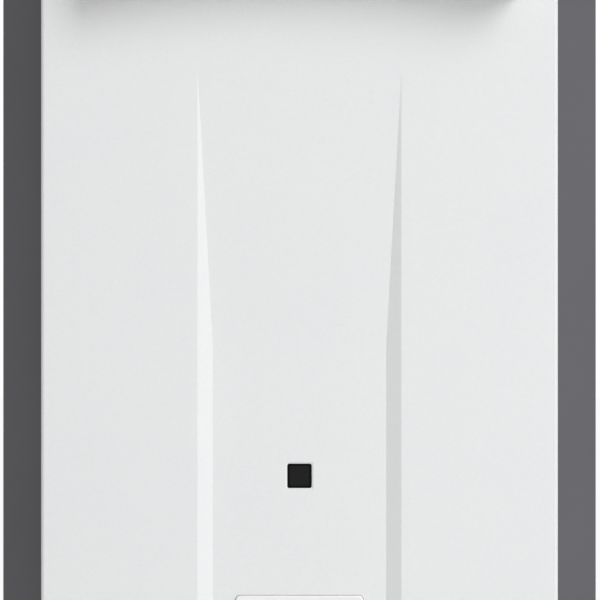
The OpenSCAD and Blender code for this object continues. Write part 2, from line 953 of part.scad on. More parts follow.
// Rails on the case's back that carry burner, exchanger and duct
module engine_frame() {
    color(zinc) from_base() for (s = [0, 1]) mirror([s, 0, 0]) {
        block([rail_x, sheet_t, rail_z], [rail_x + rail_w, 2 * sheet_t, rail_top]);
        block([rail_x, sheet_t, rail_z], [rail_x + sheet_t, engine_back, rail_top]);
        block([rail_x - rail_w, engine_back - sheet_t, rail_z], [rail_x + sheet_t, engine_back, rail_top]);
    }
}

// Pipe connections

// A fitting with a male pipe thread, standing on its axis; height 0 is the case's bottom
module fitting() {
    low = -fitting_drop;
    translate([0, 0, low]) cylinder(r = thread_r, h = thread_l);
    translate([0, 0, low + thread_l]) cylinder(r = hex_r, h = hex_h, $fn = 6);
    translate([0, 0, low + thread_l + hex_h])
        cylinder(r = barrel_r, h = fitting_drop - thread_l - hex_h + socket_h);
}

module fitting_way() {
    translate([0, 0, -fitting_drop - cut]) cylinder(r = way_r, h = fitting_drop + socket_h + 2 * cut);
}

// A side boss that runs forwards from a fitting's axis
module side_boss(r, length) {
    translate([0, 0, -boss_drop]) rotate([90, 0, 0]) cylinder(r = r, h = length);
}

module cold_inlet() {
    color(brass) from_base() upward(cold_x, conn_d, 0) difference() {
        union() {
            fitting();
            side_boss(filter_r + boss_t, boss_l);
        }
        fitting_way();
        side_boss(filter_r, boss_l + cut);
    }
}

module hot_outlet() {
    color(brass) from_base() upward(hot_x, conn_d, 0) difference() {
        union() {
            fitting();
            side_boss(drain_r + boss_t, boss_l);
        }
        fitting_way();
        side_boss(drain_r, boss_l + cut);
    }
}

module gas_inlet() {
    color(brass) from_base() upward(-gas_x, conn_d, 0) difference() {
        fitting();
        fitting_way();
    }
}

module flange_screw_places() {
    for (x = [-gas_x, hot_x, cold_x], s = [-1, 1])
        upward(x + s * flange_screw_x, conn_d, 0) children();
}

module fitting_flanges() {
    color(zinc) from_base() difference() {
        for (x = [-gas_x, hot_x, cold_x]) upward(x, conn_d, -flange_t) linear_extrude(flange_t) difference() {
            soft_square(flange_w, 2 * flange_edge, flange_edge / 2);
            circle(barrel_r + slip);
        }
        flange_screw_places() cylinder(r = screw_r + running, h = 3 * flange_t, center = true);
    }
}

module flange_screws() {
    color(steel) from_base() flange_screw_places() translate([0, 0, -flange_t]) mirror([0, 0, 1])
        screw(flange_t + 2 * sheet_t);
}

// A round cap with grip ribs that plugs a boss; height 0 is the boss's mouth
module plug_cap(r, boss_r, stem_l) {
    translate([0, 0, -stem_l]) cylinder(r = r - seat, h = stem_l);
    cylinder(r = boss_r, h = cap_h);
    for (i = [0 : cap_ribs - 1]) rotate(i * 360 / cap_ribs)
        translate([boss_r, 0, 0]) cylinder(r = cap_rib_r, h = cap_h);
}

module filter_cap() {
    color(black) from_base() forward(cold_x, conn_d + boss_l, -boss_drop)
        plug_cap(filter_r, filter_r + boss_t, cap_stem);
}

module filter_strainer() {
    length = boss_l - cap_stem - way_r / 2;
    color(steel) from_base() forward(cold_x, conn_d + way_r / 2, -boss_drop) difference() {
        tube(strainer_r, strainer_r - strainer_t, length);
        for (turn = [0 : 30 : 150], z = [mesh_pitch / 2 : mesh_pitch : length - mesh_pitch])
            translate([0, 0, z]) rotate(turn) translate([-filter_r, -mesh_slot[0] / 2, 0])
                cube([2 * filter_r, mesh_slot[0], mesh_slot[1]]);
    }
}

module drain_plug() {
    color(brass) from_base() forward(hot_x, conn_d + boss_l, -boss_drop)
        plug_cap(drain_r, drain_r + boss_t, cap_stem);
}

module cable_gland() {
    color(black) from_base() upward(gland_x, conn_d, 0) difference() {
        union() {
            translate([0, 0, -gland_nut]) cylinder(r = gland_nut_r, h = gland_nut, $fn = 6);
            translate([0, 0, -gland_nut - gland_dome])
                cylinder(r1 = gland_tip_r, r2 = gland_base_r, h = gland_dome);
            translate([0, 0, -cut]) cylinder(r = gland_r, h = sheet_t + cut + gland_nut);
            translate([0, 0, sheet_t]) cylinder(r = gland_nut_r, h = 0.6 * gland_nut, $fn = 6);
        }
        translate([0, 0, -gland_nut - gland_dome - cut]) cylinder(r = cable_r, h = 4 * gland_dome);
    }
}

// Burner

// x of a burner bar
function bar_x(i) = (i - (burner_bars - 1) / 2) * bar_pitch;

// The flange where two parts of the burner's stack are screwed together, over a height
module stack_joint(z) {
    w = burner_w / 2 + joint_w;
    block([-w, engine_back, z], [w, engine_front + joint_w, z + joint_t]);
}

module burner_case() {
    w = burner_w / 2;
    color(zinc) from_base() difference() {
        union() {
            block([-w, engine_back, burner_z], [w, engine_front, burner_z + burner_h]);
            stack_joint(burner_z + burner_h - joint_t);
            forward(sight_x, engine_front - sheet_t / 2, electrode_z)
                cylinder(r = sight_r + sight_rim, h = sight_rim);
        }
        block([sheet_t - w, engine_back + sheet_t, burner_z + sheet_t],
            [w - sheet_t, engine_front - sheet_t, burner_z + burner_h + cut]);
        block([fan_out_x, fan_d + fan_t, burner_z - cut],
            [fan_out_x + fan_out_w, fan_front - fan_t, burner_z + 2 * sheet_t]);
        for (i = [0 : burner_bars - 1])
            forward(bar_x(i), engine_front - 2 * sheet_t, bar_z)
                cylinder(r = venturi_r + seat, h = 4 * sheet_t);
        electrode_places() translate([0, 0, -4 * sheet_t]) cylinder(r = ceramic_r + running, h = 8 * sheet_t);
        forward(sight_x, engine_front, electrode_z) cylinder(r = sight_r, h = 2 * sight_rim);
    }
}

// One bar: gas tube with its mouth in front, thin neck and slotted head
module burner_bar() {
    length = engine_d - 2 * sheet_t - bar_gap;
    difference() {
        union() {
            cylinder(r = venturi_r, h = length + bar_gap);
            translate([-bar_neck / 2, 0, 0]) cube([bar_neck, bar_h, length]);
            translate([-bar_head / 2, bar_h - bar_head, 0]) cube([bar_head, bar_head, length]);
        }
        translate([0, 0, 2 * sheet_t]) cylinder(r = venturi_r - sheet_t, h = length + bar_gap);
        for (z = [bar_slot : 3 * bar_slot : length - 2 * bar_slot])
            translate([sheet_t - bar_head / 2, bar_h - bar_head / 2, z])
                cube([bar_head - 2 * sheet_t, bar_head, bar_slot]);
    }
}

module burner_bars() {
    color(steel) from_base() for (i = [0 : burner_bars - 1])
        forward(bar_x(i), engine_back + sheet_t + bar_gap / 2, bar_z) burner_bar();
}

module gas_manifold() {
    left = max(manifold_half, gas_x + gas_pipe_r + gas_pipe_room);
    low = bar_z - manifold_h / 2;
    high = bar_z + manifold_h / 2;
    color(zinc) from_base() difference() {
        union() {
            block([-left, manifold_d, low], [manifold_half, manifold_d + manifold_t, high]);
            for (s = [-1, 1])
                block([s * manifold_half, engine_front, low],
                    [s * (manifold_half - 3 * sheet_t), manifold_d + manifold_t, high]);
            for (i = [0 : 2 : burner_bars - 1], s = [-1, 1])
                forward(bar_x(i) + bar_pitch / 2, manifold_d + manifold_t, bar_z + s * manifold_h / 3)
                    cylinder(r = screw_r, h = screw_r);
        }
        rightward(-gas_x, manifold_mid, bar_z)
            cylinder(r = gas_way_r, h = gas_x + bar_x(burner_bars - 1) + injector_r);
        upward(-gas_x, manifold_mid, low - cut) cylinder(r = gas_way_r, h = bar_z - low + cut);
    }
}

module injectors() {
    color(brass) from_base() for (i = [0 : burner_bars - 1])
        forward(bar_x(i), manifold_d, bar_z) mirror([0, 0, 1]) {
            cylinder(r = injector_r, h = injector_l / 2, $fn = 6);
            cylinder(r1 = injector_r * 0.8, r2 = injector_r * 0.4, h = injector_l);
        }
}

// Gas valve

// Height of one of the three coils
function coil_z(i) = coil_low + i * coil_pitch;

module gas_valve() {
    color(zinc) from_base() difference() {
        union() {
            upward(-gas_x, valve_pipe_d, socket_h) linear_extrude(valve_h)
                soft_square(valve_w, valve_depth, valve_r);
            upward(-gas_x, valve_pipe_d, socket_h + valve_h)
                cylinder(r = gas_pipe_r + valve_boss, h = valve_boss_h);
            for (s = [-1, 1]) upward(-gas_x + s * valve_w / 3, valve_pipe_d, socket_h + valve_h)
                cylinder(r = nipple_r, h = valve_boss_h);
        }
        upward(-gas_x, conn_d, socket_h - cut) cylinder(r = way_r, h = coil_low - socket_h);
        upward(-gas_x, valve_pipe_d, coil_z(2)) cylinder(r = gas_way_r, h = valve_h);
        for (i = [0 : 2])
            forward(-gas_x, valve_front - chamber_d, coil_z(i)) cylinder(r = chamber_r, h = chamber_d + cut);
    }
}

module valve_coils() {
    color(black) from_base() for (i = [0 : 2]) forward(-gas_x, valve_front, coil_z(i)) difference() {
        union() {
            cylinder(r = coil_r, h = coil_l);
            for (z = [0, coil_l - yoke_t])
                translate([-coil_r, -yoke_w / 2, z]) cube([2 * coil_r, yoke_w, yoke_t]);
            for (s = [-1, 1])
                translate([s * coil_r - yoke_t / 2, -yoke_w / 2, 0]) cube([yoke_t, yoke_w, coil_l]);
        }
        translate([0, 0, -cut]) cylinder(r = plunger_r + running, h = coil_l - cut - yoke_t / 2);
    }
}

// A valve disc on its stem, closed on its seat
module plunger(i) {
    color(steel) from_base() forward(-gas_x, valve_front - chamber_d + seat, coil_z(i)) {
        cylinder(r = chamber_r - disc_gap, h = disc_t);
        cylinder(r = plunger_r, h = chamber_d + coil_l - yoke_t - 1.5 * disc_t - plunger_travel);
    }
}

module main_plunger() {
    plunger(0);
}

module stage_plunger() {
    plunger(1);
}

module modulating_plunger() {
    plunger(2);
}

module gas_pipe() {
    color(copper) from_base() bent_pipe([
        at(-gas_x, valve_pipe_d, socket_h + valve_h + valve_boss_h),
        at(-gas_x, valve_pipe_d, gas_run_z),
        at(-gas_x, manifold_mid, gas_run_z),
        at(-gas_x, manifold_mid, bar_z - manifold_h / 2)
    ], gas_pipe_r, gas_pipe_r - pipe_t, gas_bend_r);
}

// Heat exchanger

// Distance from the case's back to one of the four tube columns
function tube_d(i) = engine_mid + (i - 1.5) * tube_pitch;

module exchanger_shell() {
    w = burner_w / 2 + cut;
    color(copper) from_base() difference() {
        union() {
            upward(0, engine_mid, exchanger_z) linear_extrude(exchanger_h)
                soft_square(burner_w, engine_d, shell_r);
            stack_joint(exchanger_z);
            stack_joint(duct_z - joint_t);
        }
        upward(0, engine_mid, exchanger_z - cut) linear_extrude(exchanger_h + 2 * cut)
            soft_square(burner_w - 2 * copper_t, engine_d - 2 * copper_t, shell_r - copper_t);
        for (i = [0 : 3], j = [0, 1])
            rightward(-w, tube_d(i), tube_z + j * tube_pitch) cylinder(r = pipe_r + running, h = 2 * w);
    }
}

module exchanger_fins() {
    span = burner_w - 2 * fin_edge;
    color(copper) from_base() difference() {
        for (i = [0 : fins - 1]) {
            x = -span / 2 + i * span / (fins - 1);
            block([x - fin_t / 2, engine_back + copper_t + seat, tube_z - fin_over],
                [x + fin_t / 2, engine_front - copper_t - seat, tube_z + tube_pitch + fin_over]);
        }
        for (i = [0 : 3], j = [0, 1])
            rightward(-burner_w / 2, tube_d(i), tube_z + j * tube_pitch)
                cylinder(r = pipe_r + running, h = burner_w);
    }
}

// The tube's corner points: two loops round the shell, then up and down from column to column
function tube_points() =
    let (
        turn = burner_w / 2 + turn_gap + bend_r,
        stub = burner_w / 2 + stub_l,
        upper = wrap_z + tube_pitch
    )
    concat(
        [
            at(side_x, tube_d(0), wrap_start), at(side_x, tube_d(0), wrap_z), at(wrap_x, tube_d(0), wrap_z),
            at(wrap_x, wrap_d, wrap_z), at(-wrap_x, wrap_d, wrap_z),
            at(-wrap_x, tube_d(0), wrap_z), at(-wrap_x, tube_d(0), upper),
            at(-wrap_x, wrap_d, upper), at(wrap_x, wrap_d, upper),
            at(wrap_x, tube_d(0), upper), at(wrap_x + 2 * bend_r, tube_d(0), upper),
            at(wrap_x + 2 * bend_r, tube_d(0), tube_z)
        ],
        [for (k = [0 : 6])
            let (
                side = k % 2 == 0 ? -turn : turn,
                here = tube_row(k),
                next = tube_row(k + 1)
            )
            each [at(side, tube_d(here[0]), here[1]), at(side, tube_d(next[0]), next[1])]
        ],
        [at(stub, tube_d(3), tube_z)]
    );

// Column and height of one of the tube's eight passes
function tube_row(k) = [floor(k / 2), tube_z + ((k % 4 == 1 || k % 4 == 2) ? tube_pitch : 0)];

module exchanger_tube() {
    color(copper) from_base() bent_pipe(tube_points(), pipe_r, pipe_r - pipe_t, bend_r);
}

// Hexagon nuts over the joints between tube, pipes and fittings
module union_nuts() {
    color(brass) from_base() {
        upward(hot_x, conn_d, socket_h) union_nut(pipe_r);
        upward(cold_x, conn_d, cold_pipe_z) union_nut(pipe_r);
        upward(-gas_x, valve_pipe_d, socket_h + valve_h + valve_boss_h) union_nut(gas_pipe_r);
        rightward(burner_w / 2 + stub_l - nut_h / 2, conn_d, tube_z) union_nut(pipe_r);
        upward(side_x, tube_d(0), wrap_start - nut_h + bend_r / 4) union_nut(pipe_r);
        upward(-gas_x, manifold_mid, bar_z - manifold_h / 2 - nut_h) union_nut(gas_pipe_r);
    }
}

module union_nut(r) {
    difference() {
        rotate(30) cylinder(r = nut_r, h = nut_h, $fn = 6);
        translate([0, 0, -cut]) cylinder(r = r + running, h = nut_h + 2 * cut);
    }
}

// The duct's section from the side, drawn in by a distance, open below and in front
function duct_points(inset) =
    let (
        low = neck_z - neck_h / 2 + inset,
        high = neck_z + neck_h / 2 - inset,
        past = inset > 0 ? cut : 0
    )
    [
        [engine_back + inset, duct_z - past], [engine_front - inset, duct_z - past],
        [engine_front - inset, low], [neck_front + past, low], [neck_front + past, high],
        [engine_back + duct_slope + 0.4 * inset, high],
        [engine_back + inset, high - duct_slope + 0.6 * inset]
    ];

module exhaust_duct() {
    color(steel) from_base() difference() {
        union() {
            along_x(-neck_w / 2, neck_w) polygon(duct_points(0));
            stack_joint(duct_z);
        }
        along_x(-neck_w / 2 + sheet_t, neck_w - 2 * sheet_t) polygon(duct_points(sheet_t));
    }
}

// Fan

// The volute's inner outline: three arcs of growing radius and the outlet, grown by a distance
module volute(grow) {
    r = wheel_r + wheel_gap;
    circle(r + grow);
    intersection() {
        translate([-volute_step, 0]) circle(r + volute_step + grow);
        translate([-volute_step, -2 * r]) square([2 * r, 2 * r]);
    }
    intersection() {
        translate([-volute_step, volute_step]) circle(r + 2 * volute_step + grow);
        translate([-2 * r - volute_step, volute_step - 2 * r]) square(2 * r);
    }
    translate([fan_out_x - fan_x - grow, volute_step])
        square([fan_out_w + 2 * grow, burner_z - fan_z - volute_step]);
}

module fan_housing() {
    depth = wheel_w + 2 * wheel_side + 2 * fan_t;
    color(steel) from_base() difference() {
        union() {
            forward(fan_x, fan_d, fan_z) linear_extrude(depth) volute(fan_t);
            intersection() {
                forward(fan_x, fan_front - housing_rim_t, fan_z) linear_extrude(housing_rim_t)
                    volute(fan_t + housing_rim);
                block([fan_x - 3 * wheel_r, 0, 0], [fan_x + 3 * wheel_r, case_d, burner_z]);
            }
            for (p = fan_feet) forward(fan_x + p.x, sheet_t, fan_z + p.y)
                cylinder(r = foot_r, h = fan_d - sheet_t + fan_t);
        }
        forward(fan_x, fan_d + fan_t, fan_z) linear_extrude(depth - 2 * fan_t) volute(0);
        forward(fan_x, fan_d - cut, fan_z) cylinder(r = inlet_r, h = fan_t + 2 * cut);
        forward(fan_x, fan_d + depth - fan_t - cut, fan_z) cylinder(r = hub_r + 2 * seat, h = fan_t + 2 * cut);
    }
}

module fan_wheel() {
    back = wheel_w - wheel_t;
    color(black) from_base() forward(fan_x, fan_d + fan_t + wheel_side, fan_z) difference() {
        union() {
            translate([0, 0, back]) cylinder(r = wheel_r, h = wheel_t);
            tube(wheel_r, inlet_r + 1, wheel_t);
            translate([0, 0, back - hub_l]) cylinder(r = hub_r, h = hub_l + wheel_t);
            linear_extrude(back + cut) for (i = [0 : blades - 1]) rotate(i * 360 / blades) blade();
        }
        translate([0, 0, -cut]) cylinder(r = shaft_r + running, h = wheel_w + 2 * cut);
    }
}

// One forward-curved blade between the wheel's two rings
module blade() {
    reach = wheel_r - inlet_r - 1.5 * blade_t;
    translate([inlet_r + 1.2 * blade_t, reach * blade_out]) intersection() {
        difference() {
            circle(reach * blade_bend);
            circle(reach * blade_bend - blade_t);
        }
        translate([0, -reach]) square([reach, reach]);
    }
}

module fan_shaft() {
    color(steel) from_base() forward(fan_x, shaft_start, fan_z)
        cylinder(r = shaft_r, h = fan_front + motor_l - shaft_start - motor_end);
}

module fan_motor() {
    color(zinc) from_base() forward(fan_x, fan_front, fan_z) difference() {
        union() {
            cylinder(r = motor_r + motor_flange, h = motor_rib);
            cylinder(r = motor_r, h = motor_l);
            for (i = [1 : 4])
                translate([0, 0, i * motor_l / 5]) cylinder(r = motor_r + motor_rib, h = motor_rib);
        }
        translate([0, 0, -cut]) cylinder(r = shaft_r + running, h = motor_l + cut - 2 * motor_end / 3);
    }
}

// Water way

// A ring with a cross and a bearing eye, in the ends of the flow sensor
module spider() {
    linear_extrude(spider_t) difference() {
        union() {
            difference() {
                circle(sensor_bore + spoke_w / 2);
                circle(sensor_bore - spoke_w / 2);
            }
            circle(2 * axle_r);
            for (turn = [0, 90]) rotate(turn) square([2 * sensor_bore, spoke_w], center = true);
        }
        circle(axle_r + running);
    }
}

module flow_sensor() {
    color(black) from_base() upward(cold_x, conn_d, socket_h) {
        tube(barrel_r + spider_t / 3, sensor_bore, sensor_h);
        translate([0, 0, spider_t]) spider();
        translate([0, 0, sensor_h - 2 * spider_t]) spider();
        translate([barrel_r, -plug_socket[1] / 2, (sensor_h - plug_socket[2]) / 2]) cube(plug_socket);
    }
}

module flow_turbine() {
    length = sensor_h - 5 * spider_t;
    color(cover_white) from_base() upward(cold_x, conn_d, socket_h + 2.5 * spider_t) {
        cylinder(r = 2 * axle_r, h = length);
        translate([0, 0, -spider_t]) cylinder(r = axle_r, h = length + 2 * spider_t);
        translate([0, 0, spider_t]) linear_extrude(length - 2 * spider_t, twist = 60, slices = 6)
            for (turn = [0, 90]) rotate(turn) square([2 * (sensor_bore - 3 * seat), spoke_w], center = true);
    }
}

module flow_valve() {
    color(brass) from_base() difference() {
        union() {
            upward(cold_x, conn_d, flow_z) translate([-body_half, -body_half, 0])
                cube([2 * body_half, 2 * body_half, valve_body_h]);
            upward(cold_x, conn_d, flow_z + valve_body_h) cylinder(r = pipe_r + plug_wall, h = neck_up);
        }
        upward(cold_x, conn_d, flow_z - cut)
            cylinder(r = pipe_r - pipe_t, h = valve_body_h + neck_up + 2 * cut);
        rightward(cold_x - body_half + plug_wall, conn_d, flow_z + valve_body_h / 2)
            cylinder(r = plug_r + running, h = 2 * (body_half - plug_wall));
        rightward(cold_x - body_half - cut, conn_d, flow_z + valve_body_h / 2)
            cylinder(r = spindle_r + running, h = body_half);
    }
}

module flow_plug() {
    color(cover_white) from_base() difference() {
        union() {
            rightward(cold_x - body_half + plug_wall + seat, conn_d, flow_z + valve_body_h / 2)
                cylinder(r = plug_r, h = 2 * (body_half - plug_wall - seat));
            rightward(cold_x - body_half - spindle_l, conn_d, flow_z + valve_body_h / 2)
                cylinder(r = spindle_r, h = spindle_l + body_half);
        }
        upward(cold_x, conn_d, flow_z) cylinder(r = pipe_r - pipe_t, h = valve_body_h);
    }
}

module flow_motor() {
    z = flow_z + valve_body_h / 2;
    color(black) from_base() difference() {
        union() {
            block([cold_x - body_half - servo_w, conn_d - servo_d / 2, z - servo_h / 2],
                [cold_x - body_half, conn_d + servo_d / 2, z + servo_h / 2]);
            rightward(cold_x - body_half - servo_w - shaft_cap, conn_d, z + servo_h / 4)
                cylinder(r = servo_d / 3, h = shaft_cap);
        }
        rightward(cold_x - body_half - spindle_l - cut, conn_d, z)
            cylinder(r = spindle_r + running, h = spindle_l + 2 * cut);
    }
}

module cold_pipe() {
    run_z = cold_pipe_z + nut_h + bend_r + wrap_gap;
    color(copper) from_base() bent_pipe([
        at(cold_x, conn_d, cold_pipe_z), at(cold_x, conn_d, run_z), at(side_x, conn_d, run_z),
        at(side_x, tube_d(0), run_z), at(side_x, tube_d(0), wrap_start)
    ], pipe_r, pipe_r - pipe_t, bend_r);
}

module hot_pipe() {
    color(copper) from_base() bent_pipe([
        at(burner_w / 2 + stub_l, conn_d, tube_z), at(side_x, conn_d, tube_z),
        at(side_x, conn_d, hot_run_z), at(hot_x, conn_d, hot_run_z), at(hot_x, conn_d, socket_h)
    ], pipe_r, pipe_r - pipe_t, bend_r);
}

// Controls

// A box on the tray's floor or board, given by shares of the tray's width and height and a rise
module on_tray(share_x, share_z, d, size) {
    corner = [tray_x + share_x * tray_w, d, tray_z + share_z * tray_h];
    block(corner, corner + [size[0] * tray_w, size[1], size[2] * tray_h]);
}

module controller_tray() {
    back = [tray_x, tray_d, tray_z];
    front = [tray_x + tray_w, tray_d + tray_t, tray_z + tray_h];
    arm_d = display_d - board_t;
    color(black) from_base() {
        difference() {
            block(back, front);
            block(back + [1, 1, 1] * tray_wall, front - [tray_wall, -cut, tray_wall]);
        }
        for (share = [0.05, 0.5])
            block([tray_x + share * tray_w, tray_d, sheet_t],
                [tray_x + share * tray_w + tab_w, tray_d + tab_t, tray_z]);
        block([-arm_w / 2, arm_d - arm_t, front.z],
            [arm_w / 2, arm_d, case_h - window_drop + window_w]);
        block([-arm_w / 2, tray_d, front.z], [arm_w / 2, arm_d, front.z + arm_t]);
    }
}

module controller_board() {
    back = tray_d + tray_wall + standoff;
    front = back + board_t;
    edge = tray_wall + board_gap;
    color("#2f6b45") from_base() {
        block([tray_x + edge, back, tray_z + edge], [tray_x + tray_w - edge, front, tray_z + tray_h - edge]);
        for (x = [0.06, 0.91], z = [0.06, 0.91])
            on_tray(x, z, tray_d + tray_wall, [post_w / tray_w, standoff, post_w / tray_h]);
        on_tray(0.09, 0.13, front, coil_box);
        for (i = [0 : 3]) on_tray(0.41 + 0.13 * i, 0.14, front, relay_box);
        for (i = [0 : 4]) on_tray(0.1 + 0.17 * i, 0.86, front, socket_box);
        for (i = [0 : 2])
            forward(tray_x + (0.45 + 0.16 * i) * tray_w, front, tray_z + 0.46 * tray_h)
                cylinder(r = can_r, h = can_h);
    }
}

module controller_lid() {
    color(case_grey) from_base() difference() {
        block([tray_x, tray_d + tray_t, tray_z], [tray_x + tray_w, tray_d + tray_t + lid_t, tray_z + tray_h]);
        for (i = [0 : 5]) on_tray(0.15 + 0.06 * i, 0.16, tray_d + tray_t - cut, [0.03, lid_t + 2 * cut, 0.24]);
    }
}

module display_board() {
    z = case_h - window_drop;
    color("#2f6b45") from_base() {
        block([-display_w / 2, display_d - board_t, z - display_h / 2],
            [display_w / 2, display_d, z + display_h / 2]);
        block([-window_w / 2 + board_gap, display_d, z - window_w / 2 + board_gap],
            [window_w / 2 - board_gap, display_d + led_t, z + window_w / 2 - board_gap]);
    }
}

module igniter() {
    x = -(case_w / 2 - sheet_t);
    color(black) from_base() {
        block([x, igniter_d, igniter_z], [x + igniter_w, igniter_d + igniter_l, igniter_z + igniter_h]);
        forward(x + igniter_w / 2, igniter_d + igniter_l, igniter_z + igniter_h / 2)
            cylinder(r = probe_nut_r, h = probe_nut_h);
    }
}

// Places of the two spark electrodes and the flame rod on the burner case's front
module electrode_places() {
    for (x = electrode_xs) forward(x, engine_front, electrode_z) children();
}

module electrodes() {
    color(cover_white) from_base() electrode_places() {
        translate([0, 0, -4 * sheet_t]) cylinder(r = ceramic_r, h = ceramic_l);
        cylinder(r = 2 * ceramic_r, h = joint_t);
        translate([0, 0, -electrode_reach]) cylinder(r = rod_r, h = electrode_reach);
    }
}

module thermistors() {
    color(brass) from_base() {
        rightward(hot_x + pipe_r, conn_d, hot_run_z / 2) probe(1);
        forward(side_x, conn_d + pipe_r, tube_z / 2 + hot_run_z / 2) probe(0.8);
    }
}

// A temperature probe that stands on its pipe, at a share of the full size
module probe(share) {
    cylinder(r = share * probe_nut_r, h = share * probe_nut_h, $fn = 6);
    cylinder(r = share * probe_r, h = share * probe_l);
}

// A disc switch with two blade terminals on the exchanger's front, over its fins
module overheat_switch() {
    color(steel) from_base() forward(burner_w / 3, engine_front, duct_z - joint_t - 2 * switch_r) {
        cylinder(r = 1.3 * switch_r, h = sheet_t);
        cylinder(r = switch_r, h = switch_l);
        for (s = [-1, 1])
            translate([s * switch_r / 2 - joint_t / 2, -joint_t / 2, switch_l])
                cube([joint_t, joint_t, switch_l]);
    }
}

module wiring() {
    lead_d = engine_front + ceramic_l - 4 * sheet_t;
    color("#8a2a22") from_base() {
        bent_pipe([
            at(electrode_xs[0], lead_d, electrode_z), at(electrode_xs[0], lead_d + lead_out, electrode_z),
            at(electrode_xs[0], lead_d + lead_out, lead_z), at(lead_x, lead_d + lead_out, lead_z),
            at(lead_x, igniter_d + igniter_l / 2, lead_z),
            at(lead_x, igniter_d + igniter_l / 2, igniter_z + igniter_h / 2),
            at(sheet_t + igniter_w - case_w / 2, igniter_d + igniter_l / 2, igniter_z + igniter_h / 2)
        ], lead_r, 0, lead_bend);
    }
}

case_wrap();
top_cap();
bottom_plate();
front_cover();
cover_frame();
cover_seal();
cover_screws();
display_window();
name_plate();
exhaust_hood();
exhaust_grille();
exhaust_seal();
upper_bracket();
lower_bracket();
bracket_screws();
engine_frame();
cold_inlet();
hot_outlet();
gas_inlet();
fitting_flanges();
flange_screws();
filter_cap();
filter_strainer();
drain_plug();
cable_gland();
burner_case();
burner_bars();
gas_manifold();
injectors();
gas_valve();
valve_coils();
main_plunger();
stage_plunger();
modulating_plunger();
gas_pipe();
exchanger_shell();
exchanger_fins();
exchanger_tube();
union_nuts();
exhaust_duct();
fan_housing();
fan_wheel();
fan_shaft();
fan_motor();
flow_sensor();
flow_turbine();
flow_valve();
flow_plug();
flow_motor();
cold_pipe();
hot_pipe();
controller_tray();
controller_board();
controller_lid();
display_board();
igniter();
electrodes();
thermistors();
overheat_switch();
wiring();
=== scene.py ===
# %% [markdown]
# # Dressing a wall-hung water heater
# The heater comes from CAD as a fixed set of solids that share one frame: +Z is up, the
# front faces -Y, and the origin is the middle of the upper wall bolts. This lesson gives
# each solid the finish of the real piece, models what CAD leaves plain, and lights it like
# a product picture. Everything is in metres, so sizes given in millimetres go through mm.

# %% Load the frame
import math
import bmesh
import bpy
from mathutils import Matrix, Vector


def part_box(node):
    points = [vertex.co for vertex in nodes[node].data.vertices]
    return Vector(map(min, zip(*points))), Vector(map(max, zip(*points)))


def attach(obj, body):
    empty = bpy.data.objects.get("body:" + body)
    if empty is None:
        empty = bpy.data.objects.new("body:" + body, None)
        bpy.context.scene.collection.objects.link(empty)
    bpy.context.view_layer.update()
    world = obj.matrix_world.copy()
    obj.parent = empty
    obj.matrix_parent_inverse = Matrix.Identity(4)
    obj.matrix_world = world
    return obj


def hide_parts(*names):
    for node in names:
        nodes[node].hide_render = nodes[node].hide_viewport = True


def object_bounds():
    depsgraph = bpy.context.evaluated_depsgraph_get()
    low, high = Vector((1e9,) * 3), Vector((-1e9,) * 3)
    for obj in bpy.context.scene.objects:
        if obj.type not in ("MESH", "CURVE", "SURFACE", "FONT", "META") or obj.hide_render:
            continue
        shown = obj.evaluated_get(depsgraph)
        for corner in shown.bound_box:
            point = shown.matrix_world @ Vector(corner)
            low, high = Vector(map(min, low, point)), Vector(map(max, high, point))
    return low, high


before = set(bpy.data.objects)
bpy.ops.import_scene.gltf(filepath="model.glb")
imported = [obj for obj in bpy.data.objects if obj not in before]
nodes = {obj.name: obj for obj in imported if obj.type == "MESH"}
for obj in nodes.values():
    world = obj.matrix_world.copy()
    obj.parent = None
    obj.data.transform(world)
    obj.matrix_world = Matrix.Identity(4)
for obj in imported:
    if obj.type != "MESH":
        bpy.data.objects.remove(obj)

mm = 0.001
cad_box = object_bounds()


def up(height):
    """z of a height in millimetres above the underside of the case."""
    return (height - 584) * mm


# %% [markdown]
# ## The camera
# The picture is a straight front view that cuts the heater off above and below, with no
# visible vanishing lines. An orthographic camera would do that, but a very long lens far
# away gives the same look and still works from any other side. The frame shows 353 mm of
# the heater, from 109 mm to 462 mm above its underside.

# %% Camera
seen_width = 353 * mm
camera_gap = 12.0
front_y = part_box("front_cover")[0].y
camera_data = bpy.data.cameras.new("long_lens")
camera_data.sensor_width = 36
camera_data.lens = camera_data.sensor_width * camera_gap / seen_width
camera_data.clip_end = 200
camera = bpy.data.objects.new("camera", camera_data)
camera.location = (0.3 * mm, front_y - camera_gap, up(285.5))
camera.rotation_euler = (math.radians(90), 0, 0)
bpy.context.scene.collection.objects.link(camera)
bpy.context.scene.camera = camera
print("lens", round(camera_data.lens), "mm")

# %% [markdown]
# ## Nodes for the finishes
# Every finish is a small network of shader nodes. One helper adds a node, sets what it is
# told to set and links what it is given, so a network reads from top to bottom. Colours
# are written as sRGB hex values, as one reads them off a colour card, and one function
# turns them to the linear values that a renderer works with.

# %% Helpers for finishes
def linear(code):
    """sRGB hex to a linear colour with full alpha."""
    channels = [int(code[i:i + 2], 16) / 255 for i in (1, 3, 5)]
    return [c / 12.92 if c < 0.04045 else ((c + 0.055) / 1.055) ** 2.4 for c in channels] + [1]


def add(finish, kind, inputs=None, **settings):
    """Adds a shader node; an input is a value, or the socket that feeds it."""
    made = finish.node_tree.nodes.new("ShaderNode" + kind)
    for name, value in settings.items():
        setattr(made, name, value)
    for name, value in (inputs or {}).items():
        if isinstance(value, bpy.types.NodeSocket):
            finish.node_tree.links.new(value, made.inputs[name])
        else:
            made.inputs[name].default_value = value
    return made


